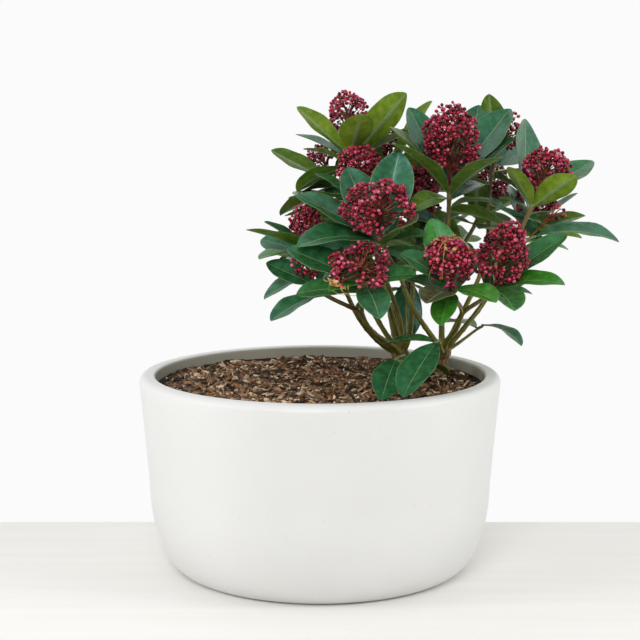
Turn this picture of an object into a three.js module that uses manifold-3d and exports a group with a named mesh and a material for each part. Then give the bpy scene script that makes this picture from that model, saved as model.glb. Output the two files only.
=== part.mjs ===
// A skimmia, an evergreen shrub in winter bud, growing off centre in a low round bowl pot.
// Millimetres, +Z up. The origin is the middle of the pot's flat underside, and -Y is the front.
// Two woody stools stand in the compost. Green stems rise from them, and each stem carries one or
// two leafy shoots that end in a head of flower buds.

import * as THREE from "three";
import { mergeVertices } from "three/addons/utils/BufferGeometryUtils.js";
import Module from "manifold-3d";

const wasm = await Module();
wasm.setup();

// ---- Driving dimensions, in millimetres and degrees ----

const GAP = 0.3; // left between two pieces that touch
const GOLDEN_ANGLE = 137.5; // the turn from one leaf to the next round a shoot

const POT = {
  rimRadius: 160,
  height: 175,
  wall: 14,
  shoulderRadius: 152, // where the straight wall bends into the belly
  shoulderHeight: 79,
  footRadius: 118,
  lipRound: 6,
  sides: 32,
};

const SOIL = { level: 165, bump: 1.6, moundHeight: 6, moundTop: 15, moundFoot: 34 };

// foot is where the stool stands, lean how far its top has moved sideways from there.
const STOOLS = {
  left: { foot: [74, 72], lean: [1, -1], height: 15, neck: 5.5, flare: 9, knob: 8 },
  right: { foot: [108, 22], lean: [3, -2], height: 27, neck: 5, flare: 9, knob: 8.5 },
};

const STEM = {
  foot: 2.5, // radii, the last one that of the green twig above the fork
  tip: 2.0,
  twig: 1.8,
  spur: 0.62, // of these radii, for a stem that carries no flower head
  sides: 6,
  pieces: 4,
  spacing: 38, // degrees kept between the stems that leave one stool
  lowest: 0.12, // the least rise of a stem where it leaves its stool, for each step out
  lift: 0.35, // how much more steeply it leaves than its shoots lie
  steepen: 0.5, // and how much more steeply it ends
  sag: 6, // how far its fork lies below the straight way to its shoots
  stub: 7, // from the fork to where its arms part
  handle: 0.28, // how long a curve keeps its first and last direction, of its span
};

const LEAF = {
  width: 0.45, // of its length
  thick: 0.9,
  stalk: 1.9, // how thick the short stalk is
  sunk: 1.2, // how far the stalk starts behind the middle of its twig
  fold: 15, // how far each half is lifted from flat
  whorlDepth: 14, // the stretch of stem that the leaves under a head spring from
  riseDrop: 44, // how much flatter the lowest leaf of a whorl lies than the top one
  arch: -6, // how far the top leaf of a whorl bends down from root to tip
  archMore: 42, // how much more its lowest leaf does
};

// Leaves further down a shoot: the share of its length where they end and over which they are
// spread, the rise of the top one, and how much less each next one has.
const LOWER = { top: 0.75, over: 0.4, rise: 32, less: 6 };

// How far chance moves a leaf, up or down: shares of its length and width, and degrees.
const VARY = { long: 0.1, wide: 0.1, heading: 6, rise: 5, roll: 14, arch: 8 };

const HEAD = {
  bumps: 0.05, // how knobbly it is, of its size
  taper: 0.12, // how much wider it is at the top than at the middle, where a shoot has none of its own
  facets: 1,
  firm: 0.72, // the middle of it that no leaf of its own shoot may pass, of its size
  stalk: 6, // from the shoot's neck to the lowest buds
  foot: 1.5, // the stalk's radius
  sunk: 1.4, // how far it starts behind the neck
};

// Each bough: the stool that it grows from, how far up towards its shoots it forks, and its shoots.
// A shoot: at is the middle of its flower head, size the head's width and height, lean how far it
// leans to +X and +Y for each step up, rise how steeply the top leaf climbs along the shoot, long
// the length of its leaves, leaves how many there are under the head and lower how many further
// down. ways says where the leaves point, from the top down. A way that is one number is a heading
// on the compass (0 is +X, 90 is +Y), and chance moves the leaf a little from the shoot's rule. A
// way of several numbers is one leaf's own heading, rise, length, arch and roll. After the last way
// the headings go on by the golden angle.
const BOUGHS = [
  {
    name: "front_middle",
    stool: "right",
    fork: 0.62,
    shoots: [
      {
        at: [50, -61, 323], size: [69, 44], lean: [-0.1, -0.6], rise: 52, long: 72,
        ways: [[73, 40, 79, -8], [109, 55, 76, 0], [158, 32, 84, 10, 12], [331, 34, 48, 20],
          [207, 43, 84, 50], [294, 39, 77, 14], [305, 22, 55, 30], 90, 160], leaves: 9, lower: 0,
      },
    ],
  },
  {
    name: "top",
    stool: "right",
    fork: 0.55,
    shoots: [
      {
        at: [114, 0, 381], size: [52, 70], lean: [0, -0.15], rise: 64, long: 72,
        ways: [[38, 40, 96, 0], [137, 53, 83, 0], 185, [64, 24, 106, -40], [18, 42, 78, 10],
          [219, 50, 86, 22], [315, 48, 74, 22], [236, 24, 58, 50], 60, [329, 36, 58, 55], 130,
          170], leaves: 9, lower: 3, taper: -0.22,
      },
    ],
  },
  {
    name: "upper_left",
    stool: "left",
    fork: 0.62,
    shoots: [
      {
        at: [25, 52, 398], size: [37, 54], lean: [-0.1, 0.25], rise: 58, long: 70,
        ways: [[279, 18, 70, 0], [200, 44, 68, 0], [354, 44, 78, 0, -40], [35, 33, 75, 10],
          [161, 44, 65, 20], [184, 36, 49, 25], 110, 60, 85], leaves: 8, lower: 1,
      },
    ],
  },
  {
    name: "upper_right",
    stool: "right",
    fork: 0.6,
    shoots: [
      {
        at: [203, -24, 318], size: [17, 19], lean: [1, -0.2], rise: 72, long: 84,
        ways: [[350, 67, 81, 46]], leaves: 1, lower: 0, stalk: 22, roll: 22,
      },
      {
        at: [196, -10, 353], size: [45, 46], lean: [0.4, 0.1], rise: 60, long: 72,
        ways: [[41, 48, 79, 0], [224, 23, 55, 0], [295, 40, 59, 0], [153, 18, 34, 30],
          [123, 51, 100, -8], 75, 45, 150], leaves: 7, lower: 1, taper: 0.2,
      },
    ],
  },
  {
    name: "front_right",
    stool: "right",
    fork: 0.6,
    shoots: [
      {
        at: [108, -94, 284], size: [44, 44], lean: [-0.05, -0.5], rise: 48, long: 56,
        ways: [[102, 37, 63, 0], [165, 39, 53, 20], [305, 28, 60, 25], [246, 34, 60, 25],
          [252, 16, 50, 35], 75, 130], leaves: 7, lower: 0, stalk: 2, drop: 36,
      },
      {
        at: [154, -78, 288], size: [46, 58], lean: [0.25, -0.4], rise: 50, long: 70,
        ways: [[128, 29, 67, 0, 45], [27, 45, 78, 5], [336, 49, 66, 45], [280, 42, 67, 40],
          [26, 16, 44, 30], 90, 60], leaves: 7, lower: 0, stalk: 2, drop: 36, taper: -0.3,
      },
    ],
  },
  {
    name: "left",
    stool: "left",
    fork: 0.6,
    shoots: [
      {
        at: [-10, -14, 305], size: [34, 41], lean: [-0.4, -0.3], rise: 46, long: 62,
        ways: [[188, 67, 59, 0], [208, 56, 78, 10], [223, 44, 69, 30], 150, 90, 120, 30, 60, 200],
          leaves: 8, lower: 1,
      },
    ],
  },
  {
    name: "front_left",
    stool: "left",
    fork: 0.62,
    shoots: [
      {
        at: [35, -95, 279], size: [60, 28], lean: [-0.15, -0.6], rise: 44, long: 58,
        ways: [[149, 32, 73, 5], [350, 28, 47, 30], [222, 40, 42, 30], [280, 30, 61, 40], 105,
          180, 60], leaves: 7, lower: 0, stalk: 2, drop: 36,
      },
      {
        at: [-12, -54, 277], size: [24, 34], lean: [-0.5, -0.4], rise: 40, long: 54,
        ways: [160], leaves: 6, lower: 0,
      },
    ],
  },
  {
    name: "middle_left",
    stool: "left",
    fork: 0.6,
    shoots: [
      {
        at: [34, 10, 354], size: [42, 44], lean: [-0.2, 0], rise: 50, long: 60,
        ways: [[189, 24, 70, 20], 160, 95, 130, 60, 200, 30], leaves: 7, lower: 1,
      },
    ],
  },
  {
    name: "middle",
    stool: "left",
    fork: 0.6,
    shoots: [
      {
        at: [89, 46, 329], size: [42, 60], lean: [0, -0.1], rise: 50, long: 60,
        ways: [80], leaves: 7, lower: 1,
      },
    ],
  },
  {
    name: "back_left",
    stool: "left",
    fork: 0.6,
    shoots: [
      {
        at: [3, 90, 360], size: [28, 32], lean: [-0.4, 0.3], rise: 46, long: 62,
        ways: [190], leaves: 8, lower: 1,
      },
      {
        at: [-6, 96, 300], size: [36, 40], lean: [-0.7, 0.3], rise: 46, long: 58,
        ways: [150], leaves: 8, lower: 1,
      },
    ],
  },
  {
    name: "back",
    stool: "left",
    fork: 0.6,
    shoots: [
      {
        at: [62, 112, 370], size: [34, 38], lean: [-0.1, 0.4], rise: 50, long: 68,
        ways: [[346, 58, 81, 0], 205, 100, 345, 150, 60, 300, 250], leaves: 8, lower: 2,
      },
      {
        at: [36, 146, 314], size: [40, 42], lean: [-0.3, 0.7], rise: 46, long: 62,
        ways: [130], leaves: 8, lower: 1,
      },
    ],
  },
  {
    name: "back_middle",
    stool: "right",
    fork: 0.6,
    shoots: [
      {
        at: [160, 128, 332], size: [42, 46], lean: [0.35, 0.55], rise: 50, long: 62,
        ways: [60], leaves: 8, lower: 2,
      },
      {
        at: [102, 152, 296], size: [42, 42], lean: [0, 0.9], rise: 44, long: 62,
        ways: [100], leaves: 8, lower: 1,
      },
    ],
  },
  {
    name: "back_right",
    stool: "right",
    fork: 0.6,
    shoots: [
      {
        at: [169, 70, 384], size: [32, 44], lean: [0.35, 0.1], rise: 46, long: 70,
        ways: [225, 95, 60, 140, 30, 200, 300, 75, 330], leaves: 8, lower: 1,
      },
      {
        at: [198, 68, 322], size: [40, 44], lean: [0.4, 0.25], rise: 54, long: 64,
        ways: [20, 130, 75, 335, 170], leaves: 8, lower: 1,
      },
    ],
  },
];

// Leafy side shoots without flower buds, which end straight up at the point at.
const SPURS = [
  {
    name: "low_front", stool: "right", at: [101, -64, 214],
    ways: [[240, -22, 76, 20], 160], rise: -36, drop: -50, long: 50,
  },
  {
    name: "low_right", stool: "right", at: [148, 36, 212],
    ways: [[323, 8, 47, 55], 120], rise: 10, drop: 0, long: 56,
  },
  {
    name: "low_left", stool: "left", at: [65, -58, 197],
    ways: [[256, -15, 63, 20], 40], rise: -22, drop: -30, long: 68,
  },
  {
    name: "low_back", stool: "left", at: [84, 112, 250],
    ways: [262, 30, 150], rise: -52, drop: -40, long: 62,
  },
];

// Where a stem's arms start: their radius, and how far they reach back into the stub.
const ARM = { foot: STEM.twig * 1.1, sunk: 2 };

const SPUR_FORK = 0.7; // how far along a spur its own twig begins

const COLOUR = {
  pot: 0xe9e7e2,
  soil: 0x3a2a20,
  bark: 0x6b5a44,
  stem: 0x6f6b33,
  foliage: 0x2f6b3c,
};

// ---- Small tools ----

const radians = THREE.MathUtils.degToRad;
const vec = (x, y, z) => new THREE.Vector3(x, y, z);
const UP = vec(0, 0, 1);

// The same number from 0 to 1 each time for the same shoot, leaf and use.
function chance(shoot, leaf, use) {
  const wave = Math.sin(shoot * 12.9898 + leaf * 78.233 + use * 37.719 + 1) * 43758.5453;
  return wave - Math.floor(wave);
}

const spread = (shoot, leaf, use) => 2 * chance(shoot, leaf, use) - 1;

// A closed three.js geometry as a solid that can be joined and cut.
function toSolid(geometry) {
  const bare = geometry.index ? geometry.toNonIndexed() : geometry.clone();
  bare.deleteAttribute("normal");
  bare.deleteAttribute("uv");
  const merged = mergeVertices(bare, 1e-3);
  const index = [];
  for (let i = 0; i < merged.index.count; i += 3) {
    const [a, b, c] = [0, 1, 2].map((k) => merged.index.getX(i + k));
    if (a !== b && b !== c && c !== a) index.push(a, b, c);
  }
  return new wasm.Manifold(
    new wasm.Mesh({
      numProp: 3,
      vertProperties: merged.attributes.position.array,
      triVerts: new Uint32Array(index),
    }),
  );
}

function toGeometry(solid) {
  const mesh = solid.getMesh();
  const places = new Float32Array(mesh.numVert * 3);
  for (let i = 0; i < mesh.numVert; i += 1) {
    places.set(mesh.vertProperties.subarray(i * mesh.numProp, i * mesh.numProp + 3), i * 3);
  }
  const geometry = new THREE.BufferGeometry();
  geometry.setAttribute("position", new THREE.BufferAttribute(places, 3));
  geometry.setIndex(new THREE.BufferAttribute(new Uint32Array(mesh.triVerts), 1));
  return geometry.toNonIndexed();
}

// Moves every vertex of a geometry to place(x, y, z).
function reshape(geometry, place) {
  const at = geometry.attributes.position;
  for (let i = 0; i < at.count; i += 1) {
    const p = place(at.getX(i), at.getY(i), at.getZ(i));
    at.setXYZ(i, p.x, p.y, p.z);
  }
  return geometry;
}

// Two unit vectors square to a direction and to each other.
function squareTo(direction) {
  const side = Math.abs(direction.z) < 0.9 ? UP.clone() : vec(1, 0, 0);
  const first = side.cross(direction).normalize();
  return [first, direction.clone().cross(first)];
}

// ---- Pot and compost ----

// Points of a quarter of an ellipse about (x, y), from one angle to another.
function arc(x, y, rx, ry, from, to, steps) {
  return Array.from({ length: steps + 1 }, (_, i) => {
    const a = radians(from + ((to - from) * i) / steps);
    return new THREE.Vector2(x + rx * Math.cos(a), y + ry * Math.sin(a));
  });
}

// The inside of the pot, from the lip down to the middle of its floor, set back by inset.
function hollowOutline(inset, top) {
  const { shoulderRadius, shoulderHeight, footRadius, wall, rimRadius, height } = POT;
  const slope = (rimRadius - shoulderRadius) / (height - shoulderHeight);
  const topRadius = shoulderRadius + slope * (top - shoulderHeight) - wall - inset;
  const floor = wall + inset;
  const across = shoulderRadius - footRadius - floor;
  const belly = arc(footRadius, shoulderHeight, across, shoulderHeight - floor, 0, -90, 4);
  return [new THREE.Vector2(topRadius, top), ...belly, new THREE.Vector2(0, floor)];
}

function turned(outline) {
  return new THREE.LatheGeometry(outline, POT.sides).rotateX(Math.PI / 2);
}

function makePot() {
  const { rimRadius, height, wall, shoulderRadius, shoulderHeight, footRadius, lipRound } = POT;
  const inner = rimRadius - wall;
  const under = height - lipRound;
  return turned([
    new THREE.Vector2(0, 0),
    ...arc(footRadius, shoulderHeight, shoulderRadius - footRadius, shoulderHeight, -90, 0, 5),
    ...arc(rimRadius - lipRound, under, lipRound, lipRound, 0, 90, 2),
    ...arc(inner + lipRound, under, lipRound, lipRound, 90, 180, 2),
    ...hollowOutline(0, SOIL.level).slice(0, -1),
    new THREE.Vector2(0, wall),
  ]);
}

function moundTopAt(stool) {
  return SOIL.level + SOIL.moundHeight + (stool === STOOLS.left ? 1 : 0);
}

// Compost fills the pot and is heaped round each stool, where its top is flat.
function makeSoil() {
  const outline = hollowOutline(GAP, SOIL.level);
  const rim = outline[0].x;
  const rings = [0, 0.3, 0.6, 0.85].map((share) => new THREE.Vector2(rim * share, SOIL.level));
  const body = reshape(turned([...rings, ...outline].reverse()), (x, y, z) => {
    const inside = z > SOIL.level - 1 && Math.hypot(x, y) < rim - 1;
    const wave = Math.sin(x * 0.11 + 1) * Math.cos(y * 0.13) + Math.sin((x + y) * 0.07);
    return vec(x, y, inside ? z + (SOIL.bump * wave) / 2 : z);
  });
  return Object.values(STOOLS).reduce((soil, stool) => {
    const top = moundTopAt(stool);
    const foot = SOIL.level - 2 * SOIL.bump;
    const mound = new THREE.CylinderGeometry(SOIL.moundTop, SOIL.moundFoot, top - foot, 12);
    mound.rotateX(Math.PI / 2).translate(...stool.foot, (top + foot) / 2);
    return soil.add(toSolid(mound).intersect(toSolid(wholeFill())));
  }, toSolid(body));
}

// What the pot can hold up to above its rim, which keeps the heaped compost off its wall.
function wholeFill() {
  const outline = hollowOutline(GAP, SOIL.level);
  const lid = new THREE.Vector2(outline[0].x, POT.height + SOIL.moundHeight);
  return turned([new THREE.Vector2(0, lid.y), lid, ...outline].reverse());
}

// ---- Stools and stems ----

function knobOf(stool) {
  const top = moundTopAt(stool) + GAP + stool.height - stool.knob;
  return vec(stool.foot[0] + stool.lean[0], stool.foot[1] + stool.lean[1], top);
}

// A short woody foot: root flare at a flat cut, a neck, and a swollen top that the stems leave.
function makeStool(stool) {
  const { height, neck, flare, knob, foot, lean } = stool;
  const centre = height - knob;
  const outline = [
    new THREE.Vector2(0, 0),
    new THREE.Vector2(flare, 0),
    new THREE.Vector2(neck + 1.2, centre * 0.35),
    new THREE.Vector2(neck, centre * 0.6),
    ...arc(0, centre, knob, knob, -30, 90, 6).map((p) => new THREE.Vector2(Math.max(p.x, 0), p.y)),
  ].filter((p, i, all) => i < 2 || p.y > all[i - 1].y || p.x === 0);
  const ground = moundTopAt(stool) + GAP;
  const round = new THREE.LatheGeometry(outline, 18).rotateX(Math.PI / 2);
  return reshape(round, (x, y, z) => {
    const share = z / height;
    return vec(x + foot[0] + lean[0] * share, y + foot[1] + lean[1] * share, z + ground);
  });
}

// Pairs of unit vectors square to a curve at even steps along it, which turn with it and don't twist.
function framesAlong(curve, steps) {
  let first = squareTo(curve.getTangentAt(0))[0];
  return Array.from({ length: steps + 1 }, (_, i) => {
    const along = curve.getTangentAt(i / steps);
    first = first.clone().addScaledVector(along, -first.dot(along)).normalize();
    return [first, along.clone().cross(first)];
  });
}

// A round limb along a curve, thinner towards its end, its sides turned by some degrees.
function limb(curve, r0, r1, sides, steps, turn = 0) {
  const frames = framesAlong(curve, steps);
  const tube = new THREE.CylinderGeometry(1, 1, 1, sides, steps).rotateY(radians(turn));
  return reshape(tube, (x, y, z) => {
    const share = y + 0.5;
    const [first, second] = frames[Math.round(share * steps)];
    const radius = r0 + (r1 - r0) * share;
    return curve
      .getPointAt(share)
      .addScaledVector(first, z * radius)
      .addScaledVector(second, x * radius);
  });
}

// A curve that leaves one point along a direction and reaches another along a second one.
function bend(from, leaving, to, arriving) {
  const handle = from.distanceTo(to) * STEM.handle;
  return new THREE.CubicBezierCurve3(
    from,
    from.clone().addScaledVector(leaving, handle),
    to.clone().addScaledVector(arriving, -handle),
    to,
  );
}

const axisOf = (shoot) => vec(...(shoot.lean ?? [0, 0]), 1).normalize();

// The point of a shoot where its leaves end and the stalk of its head begins.
function neckOf(shoot) {
  const below = shoot.size[1] / 2 + (shoot.stalk ?? HEAD.stalk);
  return vec(...shoot.at).addScaledVector(axisOf(shoot), -below);
}

// Stems that leave the same stool, pushed apart until there is room between their feet.
function spreadOut(headings) {
  const least = radians(STEM.spacing);
  for (let round = 0; round < 400; round += 1) {
    headings.forEach((a, i) =>
      headings.slice(i + 1).forEach((b) => {
        const between = a.angleTo(b);
        if (between >= least) return;
        const away = a.clone().sub(b).normalize().multiplyScalar((least - between) * 0.3);
        a.add(away).normalize();
        b.sub(away).normalize();
      }),
    );
    headings.forEach((a) => {
      a.z = Math.max(a.z, STEM.lowest);
      a.normalize();
    });
  }
}

function planStems() {
  const stems = [...BOUGHS, ...SPURS].map((bough, index) => {
    const necks = bough.shoots ? bough.shoots.map(neckOf) : [vec(...bough.at)];
    const middle = necks.reduce((sum, p) => sum.add(p), vec(0, 0, 0)).divideScalar(necks.length);
    const knob = knobOf(STOOLS[bough.stool]);
    const heading = middle.clone().sub(knob).normalize();
    if (bough.shoots) heading.addScaledVector(UP, STEM.lift).normalize();
    return { ...bough, index, necks, middle, knob, heading };
  });
  for (const stool of Object.keys(STOOLS)) {
    spreadOut(stems.filter((s) => s.stool === stool).map((s) => s.heading));
  }
  for (const stem of stems) {
    const reach = STOOLS[stem.stool].knob + GAP;
    const foot = stem.knob.clone().addScaledVector(stem.heading, reach);
    const across = stem.middle.clone().sub(foot);
    stem.rising = across.clone().normalize();
    stem.tip = foot.clone().addScaledVector(across, stem.fork ?? SPUR_FORK);
    if (stem.shoots) {
      stem.rising.addScaledVector(UP, STEM.steepen).normalize();
      stem.tip.addScaledVector(UP, -STEM.sag);
    }
    stem.curve = bend(foot, stem.heading, stem.tip, stem.rising);
  }
  return stems;
}

// ---- Leaves and flower heads ----

const STATIONS = [0, 0.08, 0.36, 0.74, 1]; // the leaf's cross-sections, from its root to its tip

// Half the leaf's width at a share of its length: a narrow stalk, then a blade widest past its middle.
function halfWidth(share, full) {
  const blade = Math.max(0, (share - 0.06) / 0.94);
  const shape = (blade ** 0.95 * (1 - blade) ** 0.72) / 0.319;
  return Math.max(LEAF.stalk / 2, full * shape);
}

// A leaf is a four-sided ball: its poles become root and tip, its sides the two edges and the two
// faces of the rib. frame holds root, out, up, and the leaf's length, width and arch.
function leafGeometry(frame, from = 0, extra = 0) {
  const { root, out, up, long, wide, arch } = frame;
  const side = up.clone().cross(out);
  const rings = STATIONS.length - 1;
  const ball = new THREE.SphereGeometry(1, 4, rings);
  return reshape(ball, (x, y, z) => {
    const ring = Math.round((Math.acos(THREE.MathUtils.clamp(y, -1, 1)) / Math.PI) * rings);
    const share = from + (1 - from) * STATIONS[ring];
    const girth = Math.hypot(x, z);
    const [edge, face] = girth < 1e-6 ? [0, 0] : [x / girth, z / girth];
    const bent = radians(Math.abs(arch) < 1 ? 1 : arch);
    const turn = bent * share;
    const ahead = (long * Math.sin(turn)) / bent;
    const down = (long * (1 - Math.cos(turn))) / bent;
    const normal = up.clone().multiplyScalar(Math.cos(turn)).addScaledVector(out, Math.sin(turn));
    const half = halfWidth(share, wide / 2);
    const lift = Math.abs(edge) * half * Math.tan(radians(LEAF.fold));
    const depth = (share < 0.1 ? LEAF.stalk : LEAF.thick) / 2 + extra;
    return root
      .clone()
      .addScaledVector(out, ahead - LEAF.sunk)
      .addScaledVector(up, -down)
      .addScaledVector(side, edge * (half + extra))
      .addScaledVector(normal, lift + face * depth);
  });
}

// A point on the straight pieces that a twig is made of.
function onTwig(curve, share) {
  const piece = Math.min(Math.floor(share * STEM.pieces), STEM.pieces - 1);
  const start = curve.getPointAt(piece / STEM.pieces);
  return start.lerp(curve.getPointAt((piece + 1) / STEM.pieces), share * STEM.pieces - piece);
}

// Which way a leaf points: its heading on the compass, and its rise from square to the shoot.
function leafFrame(root, axis, heading, rise, roll, size) {
  const level = vec(Math.cos(radians(heading)), Math.sin(radians(heading)), 0);
  const outward = level.addScaledVector(axis, -level.dot(axis)).normalize();
  const out = outward
    .clone()
    .multiplyScalar(Math.cos(radians(rise)))
    .addScaledVector(axis, Math.sin(radians(rise)));
  const up = axis
    .clone()
    .multiplyScalar(Math.cos(radians(rise)))
    .addScaledVector(outward, -Math.sin(radians(rise)));
  up.applyAxisAngle(out, radians(roll));
  return { root, out, up, ...size };
}

// The way of a shoot's leaf, counted from the top: from the table, or past its end a heading.
function wayOf(ways, leaf) {
  const past = leaf - ways.length + 1;
  return past <= 0 ? ways[leaf] : [ways.at(-1)].flat()[0] + GOLDEN_ANGLE * past;
}

// The leaves that a shoot wants, from the top down: a whorl under the head, and others below it.
function wantedLeaves(shoot, id, curve, axis) {
  const { leaves = shoot.ways.length, lower = 0, roll = 0 } = shoot;
  const { drop = LEAF.riseDrop, arch = LEAF.arch } = shoot;
  const length = curve.getLength();
  const whorl = Array.from({ length: leaves }, (_, k) => {
    const down = k / Math.max(leaves - 1, 1);
    return {
      at: 1 - (down * LEAF.whorlDepth) / length,
      rise: shoot.rise - down * drop,
      arch: arch + down * LEAF.archMore,
    };
  });
  const others = Array.from({ length: lower }, (_, k) => ({
    at: LOWER.top - (LOWER.over * (k + 0.5)) / lower,
    rise: LOWER.rise - LOWER.less * k,
    arch: arch + LEAF.archMore,
  }));
  return [...whorl, ...others].map((leaf, k) => {
    const way = wayOf(shoot.ways, k);
    const byRule = [
      way + VARY.heading * spread(id, k, 2),
      leaf.rise + VARY.rise * spread(id, k, 3),
      shoot.long * (1 + VARY.long * spread(id, k, 1)),
      leaf.arch + VARY.arch * spread(id, k, 6),
    ];
    const ownRoll = roll + VARY.roll * spread(id, k, 4);
    const [heading, rise, long, bent, turned = ownRoll] = Array.isArray(way) ? way : byRule;
    return {
      root: onTwig(curve, THREE.MathUtils.clamp(leaf.at, 0.05, 1)),
      axis,
      heading,
      rise,
      roll: turned,
      size: { long, wide: long * LEAF.width * (1 + VARY.wide * spread(id, k, 5)), arch: bent },
    };
  });
}

// A head of flower buds: a stalk, and the dense egg of buds that it carries, wider towards its top
// and knobbly. Its own leaves may pass among its outer buds, but not into the firm middle of it.
function makeHead(shoot, id, neck, axis) {
  const [wide, high] = shoot.size;
  const taper = shoot.taper ?? HEAD.taper;
  const [first, second] = squareTo(axis);
  const centre = vec(...shoot.at);
  const egg = (share) =>
    reshape(new THREE.IcosahedronGeometry(1, HEAD.facets), (x, y, z) => {
      const wave = Math.sin(6 * x + id) + Math.sin(6 * y + 2 * id) + Math.sin(6 * z + 3 * id);
      const size = share * (1 + HEAD.bumps * THREE.MathUtils.clamp(wave, -1, 1));
      const girth = ((1 + taper * z) * wide * size) / 2;
      return centre
        .clone()
        .addScaledVector(first, x * girth)
        .addScaledVector(second, y * girth)
        .addScaledVector(axis, (z * high * size) / 2);
    });
  const start = neck.clone().addScaledVector(axis, -HEAD.sunk);
  const stalk = limb(new THREE.LineCurve3(start, centre), HEAD.foot, HEAD.foot, 3, 1, 25);
  return { buds: toSolid(egg(1)), stalk: toSolid(stalk), firm: toSolid(egg(HEAD.firm)) };
}

// ---- Putting the plant together ----

const taken = []; // every limb, head and leaf so far, with the mass that owns it

// blade is the part of a leaf that its own mass has to stay clear of.
function occupy(owner, solid, blade = solid) {
  taken.push({ owner, solid, blade, box: solid.boundingBox() });
  return solid;
}

const apart = (a, b) => [0, 1, 2].some((k) => a.min[k] > b.max[k] || b.min[k] > a.max[k]);

function hasRoom(owner, whole, blade) {
  const box = whole.boundingBox();
  return taken.every((t) => {
    if (apart(box, t.box)) return true;
    const common = t.owner === owner ? blade.intersect(t.blade) : whole.intersect(t.solid);
    return common.volume() === 0;
  });
}

// Ways to turn a leaf that has no room, tried in this order before it is left out.
const TRIES = [
  [0, 0],
  [0, -5],
  [5, 0],
  [-5, 0],
  [0, 5],
  [0, -12],
  [15, 0],
  [-15, 0],
  [0, 14],
  [30, -8],
  [-30, -8],
  [0, -26],
  [45, 6],
  [-45, 6],
];

// Adds a leaf where it clears every other mass, and its blade clears its own mass too.
function placeLeaf(owner, leaf) {
  const { root, axis, heading, rise, roll, size } = leaf;
  for (const [turn, lift] of TRIES) {
    const frame = leafFrame(root, axis, heading + turn, rise + lift, roll, size);
    const whole = toSolid(leafGeometry(frame, 0, GAP));
    const blade = toSolid(leafGeometry(frame, 0.2, GAP));
    if (!hasRoom(owner, whole, blade)) continue;
    return occupy(owner, toSolid(leafGeometry(frame)), toSolid(leafGeometry(frame, 0.2)));
  }
  return null;
}

// The twigs of one mass: a stub past the bough's tip, and from it one arm to each shoot's neck.
function planMass(stem) {
  const start = stem.tip.clone().addScaledVector(stem.rising, GAP);
  const stubEnd = start.clone().addScaledVector(stem.rising, STEM.stub);
  const stub = limb(new THREE.LineCurve3(start, stubEnd), STEM.tip, ARM.foot, 5, 1);
  const shoots = stem.shoots ?? [stem];
  const arms = stem.necks.map((neck, k) => {
    const shoot = shoots[k];
    const axis = axisOf(shoot);
    const from = stubEnd.clone().addScaledVector(stem.rising, -ARM.sunk * (k + 1));
    const leaving = neck.clone().sub(from).normalize().add(stem.rising).normalize();
    const curve = bend(from, leaving, neck, axis);
    const twig = limb(curve, ARM.foot, STEM.twig, 4, STEM.pieces, 30 * k + 15);
    return { shoot, axis, neck, curve, twig, id: stem.index * 2 + k };
  });
  return { ...stem, stub, arms };
}

// One body from solids that meet. Where two skins nearly lie on each other, joining them can leave a
// speck beside the body, which is dropped. A leaf that hangs free is a mistake.
function joined(name, solids) {
  const bodies = wasm.Manifold.union(solids)
    .decompose()
    .sort((a, b) => b.volume() - a.volume());
  if (bodies[1]?.volume() > 1) throw new Error(`${name} has a piece that hangs free`);
  return bodies[0];
}

function makePlant() {
  const stems = planStems();
  const nodes = [];
  for (const stem of stems) {
    const thin = stem.shoots ? 1 : STEM.spur;
    const bough = limb(stem.curve, STEM.foot * thin, STEM.tip * thin, STEM.sides, STEM.pieces);
    nodes.push([`stem_${stem.name}`, occupy("limbs", toSolid(bough)), "stem"]);
  }
  const masses = stems.map(planMass);
  for (const mass of masses) {
    mass.solids = [occupy(mass.name, toSolid(mass.stub))];
    for (const arm of mass.arms) {
      mass.solids.push(occupy(mass.name, toSolid(arm.twig)));
      if (!mass.shoots) continue;
      const head = makeHead(arm.shoot, arm.id, arm.neck, arm.axis);
      mass.solids.push(occupy(mass.name, head.buds, head.firm), occupy(mass.name, head.stalk));
    }
  }
  for (const mass of masses) {
    for (const arm of mass.arms) {
      const leaves = wantedLeaves(arm.shoot, arm.id, arm.curve, arm.axis);
      mass.solids.push(...leaves.map((leaf) => placeLeaf(mass.name, leaf)).filter(Boolean));
    }
    nodes.push([`shoots_${mass.name}`, joined(mass.name, mass.solids), "foliage"]);
  }
  return nodes;
}

// ---- The object ----

const plant = new THREE.Group();

function addNode(name, geometry, colour, roughness) {
  const material = new THREE.MeshStandardMaterial({ color: COLOUR[colour], roughness, metalness: 0 });
  const mesh = new THREE.Mesh(geometry, material);
  mesh.name = name;
  plant.add(mesh);
}

const pot = makePot();
const soil = makeSoil();
occupy("pot", toSolid(pot));
occupy("pot", soil);
addNode("pot", pot, "pot", 0.6);
addNode("soil", toGeometry(soil), "soil", 0.95);
for (const [name, stool] of Object.entries(STOOLS)) {
  const geometry = makeStool(stool);
  occupy("limbs", toSolid(geometry));
  addNode(`stool_${name}`, geometry, "bark", 0.9);
}
for (const [name, solid, colour] of makePlant()) {
  addNode(name, toGeometry(solid), colour, 0.5);
}

export default plant;
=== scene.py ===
# %% [markdown]
# # A skimmia in a bowl pot
#
# Skimmia is an evergreen shrub. In winter each shoot ends in a head of small round flower buds on
# red stalks, with a whorl of thick glossy leaves under it. This one grows at the right of a wide,
# low pot that is otherwise filled with bare bark compost.
#
# The plant grows by a rule, not from a scan: a table names each bough and its shoots, and a few
# functions turn a row of the table into stems, twigs, leaves and buds. The frame was made by the same
# rule with few faces, so both land in the same place. Here each form is made again with its real
# surface. Sizes are in millimetres until a mesh is made, and angles are in degrees.

# %% The frame
import math

import bpy
import numpy as np
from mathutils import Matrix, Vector
from mathutils.bvhtree import BVHTree


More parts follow.
